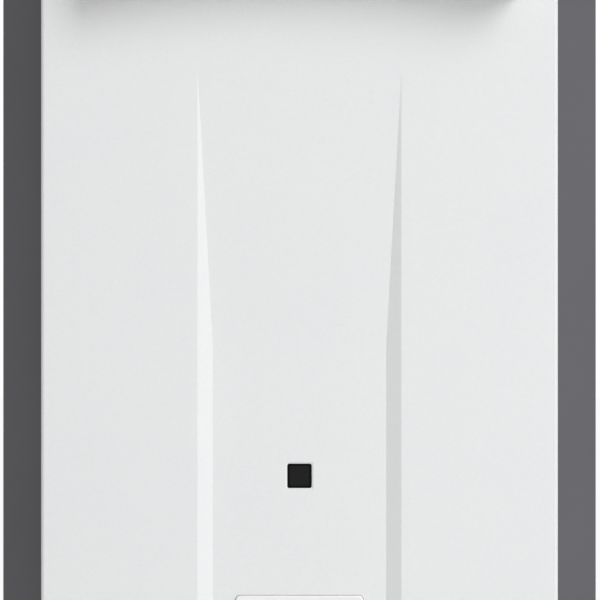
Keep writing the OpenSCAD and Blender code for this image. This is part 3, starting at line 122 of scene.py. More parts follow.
def new_finish(name, inputs):
    """A material whose Principled shader has these values, and its Object coordinates."""
    finish = bpy.data.materials.new(name)
    finish.use_nodes = True
    surface = finish.node_tree.nodes["Principled BSDF"]
    for socket, value in inputs.items():
        surface.inputs[socket].default_value = value
    place = add(finish, "TexCoord").outputs["Object"]
    return finish, surface, place


def feed(finish, surface, **sockets):
    """Links outputs to sockets of the Principled shader; an underscore stands for a space."""
    for name, output in sockets.items():
        finish.node_tree.links.new(output, surface.inputs[name.replace("_", " ")])


def per(size_mm):
    """Texture scale at which a noise or wave has features of this size."""
    return 1 / (size_mm * mm)


# %% [markdown]
# ## White powder coat
# The cover is sheet steel, sprayed with polyester powder and baked. Such a coat is never
# quite smooth: it has a fine orange peel and a satin gloss, and it is not quite evenly
# thick, so its white drifts a little. The real peel is about 0.5 mm, which is finer than
# one pixel of the picture, so it is drawn at 1.1 mm, with a second, longer swell.

# %% White powder coat
white_coat, surface, place = new_finish("white_powder_coat", {"Roughness": 0.48, "IOR": 1.5})
drift = add(white_coat, "TexNoise", {"Vector": place, "Scale": per(90), "Detail": 2.0})
tone = add(white_coat, "Mix", {"Factor": drift.outputs["Fac"], "A": linear("#F1F2F2"),
                              "B": linear("#EEEFF0")}, data_type="RGBA")
speck = add(white_coat, "TexNoise", {"Vector": place, "Scale": per(1.3), "Detail": 3.0})
specked = add(white_coat, "MapRange", {"Value": speck.outputs["Fac"], "From Min": 0.3,
                                       "From Max": 0.7, "To Min": 0.965, "To Max": 1.0})
coat_tone = add(white_coat, "Mix", {"Factor": 1.0, "A": tone.outputs["Result"],
                                    "B": specked.outputs["Result"]},
                data_type="RGBA", blend_type="MULTIPLY")
peel = add(white_coat, "TexNoise", {"Vector": place, "Scale": per(1.1), "Detail": 2.0})
swell = add(white_coat, "TexNoise", {"Vector": place, "Scale": per(26), "Detail": 1.0})
swelled = add(white_coat, "Bump", {"Strength": 0.25, "Distance": 0.05 * mm,
                                   "Height": swell.outputs["Fac"]})
peeled = add(white_coat, "Bump", {"Strength": 0.5, "Distance": 0.02 * mm,
                                  "Height": peel.outputs["Fac"], "Normal": swelled.outputs["Normal"]})
feed(white_coat, surface, Base_Color=coat_tone.outputs["Result"], Normal=peeled.outputs["Normal"])
print(white_coat.name)

# %% [markdown]
# ## Grey powder coat
# The case has the same kind of coat in a dark, slightly blue grey. On a dark coat the
# gloss shows more, and so does the peel, while the colour hardly drifts.

# %% Grey powder coat
grey_coat, surface, place = new_finish("grey_powder_coat", {"Roughness": 0.5, "IOR": 1.5})
drift = add(grey_coat, "TexNoise", {"Vector": place, "Scale": per(70), "Detail": 2.0})
tone = add(grey_coat, "Mix", {"Factor": drift.outputs["Fac"], "A": linear("#5F5E63"),
                             "B": linear("#5B5A5F")}, data_type="RGBA")
peel = add(grey_coat, "TexNoise", {"Vector": place, "Scale": per(1.2), "Detail": 2.0})
peeled = add(grey_coat, "Bump", {"Strength": 0.5, "Distance": 0.02 * mm,
                                 "Height": peel.outputs["Fac"]})
feed(grey_coat, surface, Base_Color=tone.outputs["Result"], Normal=peeled.outputs["Normal"])
print(grey_coat.name)

# %% [markdown]
# ## Brushed stainless steel
# The exhaust hood stands in hot flue gas, so it is stainless sheet with a brushed grain.
# The grain is a noise that is stretched 60 times along X, the way the sheet was brushed.
# It turns up in the gloss and as very fine ridges, and a faint straw tint comes from heat.

# %% Brushed stainless steel
stainless, surface, place = new_finish("brushed_stainless_steel", {"Metallic": 1.0, "Roughness": 0.34})
along = add(stainless, "Mapping", {"Vector": place, "Scale": (1 / 60, 1.0, 1.0)})
grain = add(stainless, "TexNoise", {"Vector": along.outputs["Vector"], "Scale": per(0.9),
                                    "Detail": 3.0})
gloss = add(stainless, "MapRange", {"Value": grain.outputs["Fac"], "To Min": 0.26, "To Max": 0.44})
heat = add(stainless, "TexNoise", {"Vector": place, "Scale": per(60), "Detail": 2.0})
tint = add(stainless, "Mix", {"Factor": heat.outputs["Fac"], "A": linear("#D2D2D0"),
                             "B": linear("#C9C7C1")}, data_type="RGBA")
ridges = add(stainless, "Bump", {"Strength": 0.3, "Distance": 0.02 * mm,
                                 "Height": grain.outputs["Fac"]})
feed(stainless, surface, Base_Color=tint.outputs["Result"], Roughness=gloss.outputs["Result"],
     Normal=ridges.outputs["Normal"])
print(stainless.name)

# %% [markdown]
# ## Galvanised steel
# Brackets, rails and burner case are hot-dip galvanised. The zinc freezes in flat
# crystals, the spangle, each of which throws the light its own way. Voronoi cells of
# 9 mm stand for the crystals: the cell's random colour drives tone and gloss.

# %% Galvanised steel
galvanised, surface, place = new_finish("galvanised_steel", {"Metallic": 1.0, "Roughness": 0.42})
spangle = add(galvanised, "TexVoronoi", {"Vector": place, "Scale": per(9), "Randomness": 1.0})
grey = add(galvanised, "SeparateColor", {"Color": spangle.outputs["Color"]})
tone = add(galvanised, "Mix", {"Factor": grey.outputs["Red"], "A": linear("#B9BEC1"),
                              "B": linear("#A4A9AD")}, data_type="RGBA")
gloss = add(galvanised, "MapRange", {"Value": grey.outputs["Green"], "To Min": 0.34, "To Max": 0.52})
feed(galvanised, surface, Base_Color=tone.outputs["Result"], Roughness=gloss.outputs["Result"])
print(galvanised.name)

# %% [markdown]
# ## Zinc-plated steel
# Screws, shaft and plungers are turned or cold-headed steel with a thin bright zinc
# plate. Small pieces handled in bulk carry fine scuffs, which show as uneven gloss.

# %% Zinc-plated steel
zinc_plate, surface, place = new_finish("zinc_plated_steel", {"Metallic": 1.0, "Roughness": 0.3})
scuff = add(zinc_plate, "TexNoise", {"Vector": place, "Scale": per(1.5), "Detail": 4.0})
gloss = add(zinc_plate, "MapRange", {"Value": scuff.outputs["Fac"], "To Min": 0.2, "To Max": 0.42})
tone = add(zinc_plate, "Mix", {"Factor": scuff.outputs["Fac"], "A": linear("#CDD0D0"),
                              "B": linear("#BFC3C5")}, data_type="RGBA")
feed(zinc_plate, surface, Base_Color=tone.outputs["Result"], Roughness=gloss.outputs["Result"])
print(zinc_plate.name)

# %% [markdown]
# ## Machined brass
# Fittings, injectors and the valve body are cut from brass bar and left as they come
# off the lathe: bright yellow with fine turning marks and a little dull handling film.
# The marks run round upright fittings, so a wave along Z at 0.5 mm draws them.

# %% Machined brass
brass, surface, place = new_finish("machined_brass", {"Metallic": 1.0, "Roughness": 0.3})
marks = add(brass, "TexWave", {"Vector": place, "Scale": per(0.5) / 20, "Distortion": 0.6},
            bands_direction="Z")
film = add(brass, "TexNoise", {"Vector": place, "Scale": per(9), "Detail": 3.0})
tone = add(brass, "Mix", {"Factor": film.outputs["Fac"], "A": linear("#D9BB74"),
                         "B": linear("#C29E58")}, data_type="RGBA")
gloss = add(brass, "MapRange", {"Value": film.outputs["Fac"], "To Min": 0.22, "To Max": 0.42})
lathed = add(brass, "Bump", {"Strength": 0.25, "Distance": 0.03 * mm, "Height": marks.outputs["Fac"]})
feed(brass, surface, Base_Color=tone.outputs["Result"], Roughness=gloss.outputs["Result"],
     Normal=lathed.outputs["Normal"])
print(brass.name)

# %% [markdown]
# ## Copper
# Pipes and heat exchanger are drawn and brazed copper. It leaves the factory pink and
# bright and soon goes browner in patches, first where it was brazed and handled.

# %% Copper
copper, surface, place = new_finish("drawn_copper", {"Metallic": 1.0, "Roughness": 0.32})
patches = add(copper, "TexNoise", {"Vector": place, "Scale": per(28), "Detail": 5.0, "Roughness": 0.6})
tone = add(copper, "ValToRGB", {"Fac": patches.outputs["Fac"]})
tone.color_ramp.elements[0].position, tone.color_ramp.elements[0].color = 0.35, linear("#D98F69")
tone.color_ramp.elements[1].position, tone.color_ramp.elements[1].color = 0.68, linear("#A9623F")
gloss = add(copper, "MapRange", {"Value": patches.outputs["Fac"], "To Min": 0.24, "To Max": 0.48})
feed(copper, surface, Base_Color=tone.outputs["Color"], Roughness=gloss.outputs["Result"])
print(copper.name)

# %% [markdown]
# ## Die-cast aluminium
# Gas valve, manifold and motor are pressure die castings: light grey, matt, with the
# fine pitted skin that the die leaves. The skin is a 0.8 mm noise in bump and gloss.

# %% Die-cast aluminium
cast, surface, place = new_finish("die_cast_aluminium", {"Metallic": 1.0, "Roughness": 0.5})
skin = add(cast, "TexNoise", {"Vector": place, "Scale": per(0.8), "Detail": 4.0})
flow = add(cast, "TexNoise", {"Vector": place, "Scale": per(22), "Detail": 2.0})
tone = add(cast, "Mix", {"Factor": flow.outputs["Fac"], "A": linear("#BDBFC0"),
                        "B": linear("#A8AAAC")}, data_type="RGBA")
gloss = add(cast, "MapRange", {"Value": skin.outputs["Fac"], "To Min": 0.42, "To Max": 0.6})
pits = add(cast, "Bump", {"Strength": 0.5, "Distance": 0.05 * mm, "Height": skin.outputs["Fac"]})
feed(cast, surface, Base_Color=tone.outputs["Result"], Roughness=gloss.outputs["Result"],
     Normal=pits.outputs["Normal"])
print(cast.name)

# %% [markdown]
# ## Aluminised sheet
# The fan housing is deep-drawn steel sheet with a dip coat of aluminium, which stays
# silvery when warm. It is duller than galvanised sheet and has no spangle, only clouds.

# %% Aluminised sheet
aluminised, surface, place = new_finish("aluminised_sheet", {"Metallic": 1.0, "Roughness": 0.45})
cloud = add(aluminised, "TexNoise", {"Vector": place, "Scale": per(14), "Detail": 3.0})
tone = add(aluminised, "Mix", {"Factor": cloud.outputs["Fac"], "A": linear("#B0B3B4"),
                              "B": linear("#9A9D9F")}, data_type="RGBA")
gloss = add(aluminised, "MapRange", {"Value": cloud.outputs["Fac"], "To Min": 0.38, "To Max": 0.55})
feed(aluminised, surface, Base_Color=tone.outputs["Result"], Roughness=gloss.outputs["Result"])
print(aluminised.name)

# %% [markdown]
# ## Plastics
# Most plastic pieces are glass-filled nylon, moulded in dies with a spark-eroded grain.
# Black and grey differ in colour only, so one loop makes both: a 0.7 mm grain in the
# bump, and gloss that drifts where the melt met the die. Acetal, for the wetted moving
# pieces, is smoother and glossier and lets a little light in under its skin.

# %% Moulded plastics
moulded = {}
for name, light, dark in (("black_nylon", "#2B2B2D", "#232325"), ("grey_nylon", "#6E6F71", "#66676A")):
    plastic, surface, place = new_finish(name, {"Roughness": 0.5, "IOR": 1.53})
    grain = add(plastic, "TexNoise", {"Vector": place, "Scale": per(0.7), "Detail": 2.0})
    drift = add(plastic, "TexNoise", {"Vector": place, "Scale": per(18), "Detail": 2.0})
    tone = add(plastic, "Mix", {"Factor": drift.outputs["Fac"], "A": linear(light),
                               "B": linear(dark)}, data_type="RGBA")
    gloss = add(plastic, "MapRange", {"Value": drift.outputs["Fac"], "To Min": 0.42, "To Max": 0.58})
    grained = add(plastic, "Bump", {"Strength": 0.5, "Distance": 0.03 * mm,
                                    "Height": grain.outputs["Fac"]})
    feed(plastic, surface, Base_Color=tone.outputs["Result"], Roughness=gloss.outputs["Result"],
         Normal=grained.outputs["Normal"])
    moulded[name] = plastic

acetal, surface, place = new_finish("white_acetal", {"Roughness": 0.3, "IOR": 1.48,
                                                     "Subsurface Weight": 0.1,
                                                     "Subsurface Scale": 1 * mm})
drift = add(acetal, "TexNoise", {"Vector": place, "Scale": per(6), "Detail": 2.0})
tone = add(acetal, "Mix", {"Factor": drift.outputs["Fac"], "A": linear("#ECEBE5"),
                          "B": linear("#E2E1DA")}, data_type="RGBA")
feed(acetal, surface, Base_Color=tone.outputs["Result"])
print(list(moulded), acetal.name)

# %% [markdown]
# ## Rubber and foam
# The seals are strips of closed-cell foam: matt black, with cells of about 1 mm cut open
# on the surface, their pits painted darker as shade. The leads have smooth red silicone sleeves that
# pick up a little dust.

# %% Foam and silicone
foam, surface, place = new_finish("closed_cell_foam", {"Roughness": 0.85, "IOR": 1.45})
cells_and_pit_shade = add(foam, "TexVoronoi", {"Vector": place, "Scale": per(1.0)})
# Darker colour in the cells' pits is painted shade; the bump gives them their depth.
tone = add(foam, "Mix", {"Factor": cells_and_pit_shade.outputs["Distance"], "A": linear("#1B1B1C"),
                        "B": linear("#313133")}, data_type="RGBA")
opened = add(foam, "Bump", {"Strength": 0.7, "Distance": 0.2 * mm, "Height": cells_and_pit_shade.outputs["Distance"]})
feed(foam, surface, Base_Color=tone.outputs["Result"], Normal=opened.outputs["Normal"])

silicone, surface, place = new_finish("red_silicone", {"Roughness": 0.45, "IOR": 1.43})
dust = add(silicone, "TexNoise", {"Vector": place, "Scale": per(5), "Detail": 4.0})
tone = add(silicone, "Mix", {"Factor": dust.outputs["Fac"], "A": linear("#9C2F25"),
                            "B": linear("#85271F")}, data_type="RGBA")
gloss = add(silicone, "MapRange", {"Value": dust.outputs["Fac"], "To Min": 0.35, "To Max": 0.6})
feed(silicone, surface, Base_Color=tone.outputs["Result"], Roughness=gloss.outputs["Result"])
print(foam.name, silicone.name)

# %% [markdown]
# ## Board, ceramic, heat-proof paint and smoked window
# A circuit board is green solder mask over copper tracks, which a fine brick pattern
# hints at. Electrode insulators are glazed alumina. The grille has matt heat-proof
# paint. The window is a smoked acrylic with a hard gloss: nearly black from outside.

# %% Board, ceramic, paint and window
board_mask, surface, place = new_finish("solder_mask", {"Roughness": 0.32, "IOR": 1.5,
                                                        "Coat Weight": 0.3})
upright = add(board_mask, "Mapping", {"Vector": place, "Rotation": (math.radians(90), 0, 0)})
tracks = add(board_mask, "TexBrick", {"Vector": upright.outputs["Vector"], "Scale": per(2.4) / 4,
                                      "Color1": linear("#23613C"), "Color2": linear("#1D5333"),
                                      "Mortar": linear("#2F7A4E"), "Mortar Size": 0.03})
feed(board_mask, surface, Base_Color=tracks.outputs["Color"])

ceramic, surface, place = new_finish("glazed_alumina", {"Roughness": 0.22, "IOR": 1.6})
specks = add(ceramic, "TexNoise", {"Vector": place, "Scale": per(1.5), "Detail": 5.0})
tone = add(ceramic, "Mix", {"Factor": specks.outputs["Fac"], "A": linear("#EFEBE0"),
                           "B": linear("#DDD8CB")}, data_type="RGBA")
feed(ceramic, surface, Base_Color=tone.outputs["Result"])

heat_paint, surface, place = new_finish("heat_proof_paint", {"Roughness": 0.7, "IOR": 1.5})
soot = add(heat_paint, "TexNoise", {"Vector": place, "Scale": per(3), "Detail": 5.0})
tone = add(heat_paint, "Mix", {"Factor": soot.outputs["Fac"], "A": linear("#2C2C2E"),
                              "B": linear("#1E1E20")}, data_type="RGBA")
rough = add(heat_paint, "Bump", {"Strength": 0.5, "Distance": 0.05 * mm, "Height": soot.outputs["Fac"]})
feed(heat_paint, surface, Base_Color=tone.outputs["Result"], Normal=rough.outputs["Normal"])

smoked, surface, place = new_finish("smoked_acrylic", {"Roughness": 0.3, "IOR": 1.49,
                                                       "Specular IOR Level": 0.16})
haze = add(smoked, "TexNoise", {"Vector": place, "Scale": per(4), "Detail": 2.0})
tone = add(smoked, "Mix", {"Factor": haze.outputs["Fac"], "A": linear("#181819"),
                          "B": linear("#131314")}, data_type="RGBA")
feed(smoked, surface, Base_Color=tone.outputs["Result"])
print(board_mask.name, ceramic.name, heat_paint.name, smoked.name)

# %% [markdown]
# ## Giving the solids their finishes
# A CAD solid keeps its shape, so a finish only goes into its material slot. The table
# below is read straight off what each piece is made of on a real heater.

# %% Finishes of the solids
finish_of = {
    white_coat: ["front_cover"],
    grey_coat: ["case_wrap", "top_cap", "bottom_plate"],
    stainless: ["exhaust_hood", "exhaust_duct", "burner_bars", "overheat_switch", "name_plate"],
    galvanised: ["cover_frame", "upper_bracket", "lower_bracket", "engine_frame", "fitting_flanges",
                 "burner_case"],
    zinc_plate: ["cover_screws", "bracket_screws", "flange_screws", "fan_shaft", "filter_strainer",
                 "main_plunger", "stage_plunger", "modulating_plunger"],
    brass: ["cold_inlet", "hot_outlet", "gas_inlet", "drain_plug", "injectors", "flow_valve",
            "thermistors", "union_nuts"],
    copper: ["gas_pipe", "cold_pipe", "hot_pipe", "exchanger_shell", "exchanger_fins",
             "exchanger_tube"],
    cast: ["gas_manifold", "gas_valve", "fan_motor"],
    aluminised: ["fan_housing"],
    moulded["black_nylon"]: ["filter_cap", "cable_gland", "valve_coils", "fan_wheel", "flow_sensor",
                             "flow_motor", "controller_tray", "igniter"],
    moulded["grey_nylon"]: ["controller_lid"],
    acetal: ["flow_turbine", "flow_plug"],
    foam: ["cover_seal", "exhaust_seal"],
    silicone: ["wiring"],
    board_mask: ["controller_board", "display_board"],
    ceramic: ["electrodes"],
    heat_paint: ["exhaust_grille"],
    smoked: ["display_window"],
}
for finish, names in finish_of.items():
    for name in names:
        nodes[name].data.materials.clear()
        nodes[name].data.materials.append(finish)
print(sum(len(names) for names in finish_of.values()), "solids have their finish")

# %% [markdown]
# ## Tools for the new pieces
# Every new piece starts as a primitive at its real size and place and is then worked in
# edit mode, the way one would by hand: pick faces or edges, then inset, extrude, bevel.
# The picking is done in code, by where a face or an edge lies and which way it points.
# A finished piece keeps its place in its mesh, so its object stays at the origin.

# %% Tools for the new pieces
near = 0.01 * mm  # corners closer to a plane than this lie in it


def start():
    """Leaves edit mode and deselects everything, so that the next operator touches one object."""
    if bpy.context.mode != "OBJECT":
        bpy.ops.object.mode_set(mode="OBJECT")
    bpy.ops.object.select_all(action="DESELECT")


def add_box(name, low, high):
    """A box between two corners, open in edit mode."""
    low, high = Vector(low), Vector(high)
    start()
    bpy.ops.mesh.primitive_cube_add(size=1, location=(low + high) / 2, scale=high - low)
    return settle(name)


def add_round(name, radius, length, middle, sides=48, axis="Z"):
    """A cylinder along an axis, open in edit mode."""
    turn = {"X": (0, math.radians(90), 0), "Y": (math.radians(90), 0, 0), "Z": (0, 0, 0)}[axis]
    start()
    bpy.ops.mesh.primitive_cylinder_add(vertices=sides, radius=radius, depth=length, location=middle,
                                        rotation=turn)
    return settle(name)


def settle(name):
    """Moves the new object's place into its mesh, names it and opens it in edit mode."""
    piece = bpy.context.active_object
    piece.name = name
    bpy.ops.object.transform_apply(location=True, rotation=True, scale=True)
    bpy.ops.object.mode_set(mode="EDIT")
    return piece


def pick(piece, kind, test):
    """In edit mode, selects just the VERT, EDGE or FACE parts that pass a test."""
    bpy.ops.mesh.select_all(action="DESELECT")
    bpy.ops.mesh.select_mode(type=kind)
    mesh = bmesh.from_edit_mesh(piece.data)
    mesh.normal_update()
    parts = {"VERT": mesh.verts, "EDGE": mesh.edges, "FACE": mesh.faces}[kind]
    chosen = [part for part in parts if test(part)]
    for part in chosen:
        part.select_set(True)
    mesh.select_flush_mode()
    bmesh.update_edit_mesh(piece.data)
    return len(chosen)


def runs(edge, axis):
    """True if an edge runs mostly along an axis, 0 to 2."""
    step = edge.verts[1].co - edge.verts[0].co
    return abs(step[axis]) > 0.8 * step.length


def lies(part, axis, place):
    """True if all of an edge's or a face's corners lie in a plane across an axis."""
    return all(abs(corner.co[axis] - place) < near for corner in part.verts)


def push(x=0, y=0, z=0):
    """Extrudes what is picked by a step in metres."""
    bpy.ops.mesh.extrude_region_move(TRANSFORM_OT_translate={"value": (x, y, z)})


def apply(piece, kind, **settings):
    """Adds a modifier with these settings and applies it."""
    bpy.ops.object.mode_set(mode="OBJECT")
    made = piece.modifiers.new(kind.lower(), kind)
    for name, value in settings.items():
        setattr(made, name, value)
    bpy.context.view_layer.objects.active = piece
    bpy.ops.object.modifier_apply(modifier=made.name)


def shrink_in(across, upwards, middle):
    """Copies the picked face's outline inwards by scaling, where an inset would cross over."""
    bpy.ops.mesh.inset(thickness=near)
    bpy.ops.transform.resize(value=(across, 1, upwards), center_override=middle)


def hand_over(piece, finish, body, slot, *replaced):
    """Ends a piece: soft shading, its finish and the body it rides on; slot is not used."""
    start()
    piece.select_set(True)
    bpy.context.view_layer.objects.active = piece
    bpy.ops.object.shade_smooth_by_angle(angle=math.radians(35))
    if not piece.data.materials:
        piece.data.materials.append(finish)
    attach(piece, body)
    if replaced:
        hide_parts(*replaced)
    print(piece.name, "has", len(piece.data.polygons), "faces")


# %% [markdown]
# ## Display window
# The window is a small clear pane that snaps into the cover from behind. Its back is
# smoked. Where the pane turns down to its snap rim, a darker border is painted on as
# shade, and the rim has the same dark finish. So the piece is a rim plate with the pane
# pushed forward from it and a soft edge. The outline is then scaled down once more, which
# parts the pane's face from its border of painted shade.

# %% Display window
low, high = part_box("display_window")
pane_w = 14.1 * mm
rim_w = ((high.x - low.x) - pane_w) / 2
sheet = 0.6 * mm
snap_r = 3.7 * mm
# Dark finish of the snap rim and the pane's border; on the border it is painted shade.
rim_and_edge_shade, surface, place = new_finish("window_rim_and_edge_shade", {"Roughness": 0.5,
                                                             "Specular IOR Level": 0.06})
cloud = add(rim_and_edge_shade, "TexNoise", {"Vector": place, "Scale": per(3), "Detail": 2.0})
tone = add(rim_and_edge_shade, "Mix", {"Factor": cloud.outputs["Fac"], "A": linear("#0C0C0D"),
                              "B": linear("#090909")}, data_type="RGBA")
feed(rim_and_edge_shade, surface, Base_Color=tone.outputs["Result"])

lens = add_box("window_lens", (low.x, low.y + sheet, low.z), high)
pick(lens, "EDGE", lambda edge: runs(edge, 1))
bpy.ops.mesh.bevel(offset=snap_r, segments=8)
pick(lens, "FACE", lambda face: lies(face, 1, low.y + sheet))
bpy.ops.mesh.inset(thickness=rim_w)
push(y=-sheet)
pick(lens, "EDGE", lambda edge: lies(edge, 1, low.y))
bpy.ops.mesh.bevel(offset=0.25 * mm, segments=3)
pick(lens, "FACE", lambda face: lies(face, 1, low.y))
shrink_in(0.85, 0.85, (low + high) / 2)
bpy.ops.transform.translate(value=(0, 0.12 * mm, 0))
lens.data.materials.append(rim_and_edge_shade)
lens.data.materials.append(smoked)
lens.active_material_index = 1
bpy.ops.object.material_slot_assign()
hand_over(lens, smoked, "cover", "window", "display_window")

# %% [markdown]
# ## Bare plate
# Under the window sits a thin plate with soft corners and nothing on it. It is stamped
# from satin aluminium, and its pressed edge catches the light as a thin bright line.
# Rolled aluminium shows a fine straight grain, here along X like the sheet was rolled.

# %% Bare plate
satin, surface, place = new_finish("satin_aluminium", {"Metallic": 0.25, "Roughness": 0.5})
rolled = add(satin, "Mapping", {"Vector": place, "Scale": (1 / 40, 1.0, 1.0)})
grain = add(satin, "TexNoise", {"Vector": rolled.outputs["Vector"], "Scale": per(0.5), "Detail": 2.0})
tone = add(satin, "Mix", {"Factor": grain.outputs["Fac"], "A": linear("#F6F6F6"),
                         "B": linear("#F1F1F2")}, data_type="RGBA")
gloss = add(satin, "MapRange", {"Value": grain.outputs["Fac"], "To Min": 0.42, "To Max": 0.56})
feed(satin, surface, Base_Color=tone.outputs["Result"], Roughness=gloss.outputs["Result"])

low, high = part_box("name_plate")
plate_r = 2.5 * mm
plate = add_box("plate_face", low, high)
pick(plate, "EDGE", lambda edge: runs(edge, 1))
bpy.ops.mesh.bevel(offset=plate_r, segments=8)
pick(plate, "EDGE", lambda edge: lies(edge, 1, low.y))
bpy.ops.mesh.bevel(offset=0.75 * mm, segments=3)
pick(plate, "FACE", lambda face: lies(face, 1, low.y))
bpy.ops.mesh.inset(thickness=1.0 * mm)
bpy.ops.transform.translate(value=(0, 0.15 * mm, 0))
hand_over(plate, satin, "cover", "stainless", "name_plate")

# %% [markdown]
# ## Painted shadow ring under the plate
# A thin grey ring, cut a little larger than the plate, sits under it. Its rim is painted
# shade: the thin dark line round the plate's bright one, where the plate throws its contact
# shadow. It reads the plate's own box, so it follows the plate's size.

# %% Painted shadow ring under the plate
# A grey ring a little larger than the plate; its rim is painted shade, the plate's contact shadow.
shadow_ring_lap, shadow_ring_t = 0.3 * mm, 0.15 * mm
shadow_ring = add_box("plate_shadow_ring", (low.x - shadow_ring_lap, high.y - shadow_ring_t, low.z - shadow_ring_lap),
               (high.x + shadow_ring_lap, high.y, high.z + shadow_ring_lap))
pick(shadow_ring, "EDGE", lambda edge: runs(edge, 1))
bpy.ops.mesh.bevel(offset=plate_r + shadow_ring_lap, segments=8)
# Grey finish of the ring: painted shade round the plate's edge.
shadow_ring_finish, surface, place = new_finish("plate_edge_painted_shade", {"Roughness": 0.8, "IOR": 1.45})
shadow_ring_noise = add(shadow_ring_finish, "TexNoise", {"Vector": place, "Scale": per(0.8), "Detail": 2.0})
tone = add(shadow_ring_finish, "Mix", {"Factor": shadow_ring_noise.outputs["Fac"], "A": linear("#8E8E8E"),
                             "B": linear("#7C7C7C")}, data_type="RGBA")
feed(shadow_ring_finish, surface, Base_Color=tone.outputs["Result"])
hand_over(shadow_ring, shadow_ring_finish, "cover", "foam")

# %% [markdown]
# ## Exhaust hood
# The hood is folded from stainless sheet. It stands on the cover as a shallow box whose
# top and sides draw in towards the front. Its upper corners are big and round, its lower
# ones tight, and between them the lower lip arches up, which is the curved edge of the
# shadow at the top of the picture. The box is cut into stations along X, and each one is
# pushed up as far as the arch is high there. The mouth is a copy of the front's outline,
# scaled down because an inset would cross over in the tight corners. The sheet's
# thickness comes last.

# %% Exhaust hood
hood_w, hood_h = 260 * mm, 75 * mm
arch, draft, frame_w = 12 * mm, 7 * mm, 8 * mm
top_r, foot_r, lip_r = 14 * mm, 4 * mm, 2 * mm
fold, sheet_t = 3 * mm, 1.2 * mm
arch_half = hood_w / 2 - draft - foot_r
low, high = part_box("exhaust_hood")
hood_front, hood_back, hood_top = low.y, high.y, high.z
hood_low = hood_top - hood_h


def raise_arch(piece, foot):
    """Cuts a piece into stations along X, then pushes its foot up to the arch at each."""
    steps = 20
    places = [arch_half * i / steps for i in range(1 - steps, steps)]
    for x in places:
        bpy.ops.mesh.select_all(action="SELECT")
        bpy.ops.mesh.bisect(plane_co=(x, 0, 0), plane_no=(1, 0, 0))
    for x in places:
        pick(piece, "VERT", lambda vert: abs(vert.co.x - x) < near and abs(vert.co.z - foot) < near)
        bpy.ops.transform.translate(value=(0, 0, arch * (1 - (x / arch_half) ** 2)))


hood = add_box("hood_shell", (-hood_w / 2, hood_front, hood_low), (hood_w / 2, hood_back, hood_top))
pick(hood, "FACE", lambda face: lies(face, 1, hood_front))
bpy.ops.transform.resize(value=(1 - 2 * draft / hood_w, 1, 1),
                         center_override=(0, hood_front, hood_low))
pick(hood, "EDGE", lambda edge: lies(edge, 1, hood_front) and lies(edge, 2, hood_top))
bpy.ops.transform.translate(value=(0, 0, -draft))
for radius, side in ((top_r, hood_top - draft), (foot_r, hood_low)):
    pick(hood, "EDGE", lambda edge: runs(edge, 1) and all(
        abs(corner.co.z - side) < 1.1 * draft for corner in edge.verts))
    bpy.ops.mesh.bevel(offset=radius, segments=10)
raise_arch(hood, hood_low)
for y in (hood_front, hood_back):
    pick(hood, "FACE", lambda face: lies(face, 1, y))
    bpy.ops.mesh.dissolve_faces()
bpy.ops.mesh.delete(type="FACE")
pick(hood, "EDGE", lambda edge: lies(edge, 1, hood_front))
bpy.ops.mesh.bevel(offset=lip_r, segments=4)
pick(hood, "FACE", lambda face: lies(face, 1, hood_front))
rim = 2 * (frame_w - lip_r)
shrink_in(1 - rim / (hood_w - 2 * draft), 1 - rim / (hood_h - draft - arch),
          (0, hood_front, (hood_low + arch + hood_top - draft) / 2))
push(y=fold)
bpy.ops.mesh.delete(type="FACE")
apply(hood, "SOLIDIFY", thickness=sheet_t, offset=-1)
hand_over(hood, stainless, "cover", "stainless", "exhaust_hood")

# %% [markdown]
# ## Louvres
# Behind the mouth sit five blades of painted sheet on a thin ring, tied by two uprights.
# They slope down to the front so that rain runs out. One blade is modelled, with a
# folded front lip that keeps it straight, and the others are copies of it. The blade is
# modelled level, as wide as it is deep with its lip, and then narrowed and tilted.

# %% Louvres
low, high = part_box("exhaust_grille")
blades = 5
mouth_low = hood_low + arch + frame_w
mouth_h = hood_h - draft - arch - 2 * frame_w
blade_y = (low.y + high.y) / 2
half, half_t, lip, lip_drop = 6 * mm, 0.5 * mm, 0.9 * mm, 1.6 * mm
tilt = math.radians(30)
blade = add_box("louvre_0", (low.x, blade_y - half, -half_t), (high.x, blade_y + half, half_t))
pick(blade, "FACE", lambda face: lies(face, 1, blade_y - half))
push(y=-lip)
pick(blade, "FACE", lambda face: lies(face, 2, -half_t)
     and face.calc_center_median().y < blade_y - half)
push(z=-lip_drop)
pick(blade, "EDGE", lambda edge: runs(edge, 0))
bpy.ops.mesh.bevel(offset=0.3 * mm, segments=2)
bpy.ops.mesh.select_all(action="SELECT")
bpy.ops.transform.translate(value=(0, lip / 2, 0))
bpy.ops.transform.resize(value=(1, 0.9, 1), center_override=(0, blade_y, 0))
bpy.ops.transform.rotate(value=-tilt, orient_axis="X", center_override=(0, blade_y, 0))
bpy.ops.transform.translate(value=(0, 0, mouth_low + mouth_h * 0.5 / blades))
start()
print("lip height", round(min(v.co.z for v in blade.data.vertices), 4), "to",
      round(max(v.co.z for v in blade.data.vertices), 4))
louvres = [blade]
for i in range(1, blades):
    start()
    blade.select_set(True)
    bpy.ops.object.duplicate()
    copy = bpy.context.active_object
    copy.name = "louvre_%d" % i
    bpy.ops.transform.translate(value=(0, 0, i * mouth_h / blades))
    bpy.ops.object.transform_apply(location=True, rotation=False, scale=False)
    louvres.append(copy)
    bpy.context.view_layer.objects.active = blade

bpy.context.view_layer.objects.active = louvres[-1]
for piece in louvres:
    hand_over(piece, heat_paint, "cover", "grille_paint")

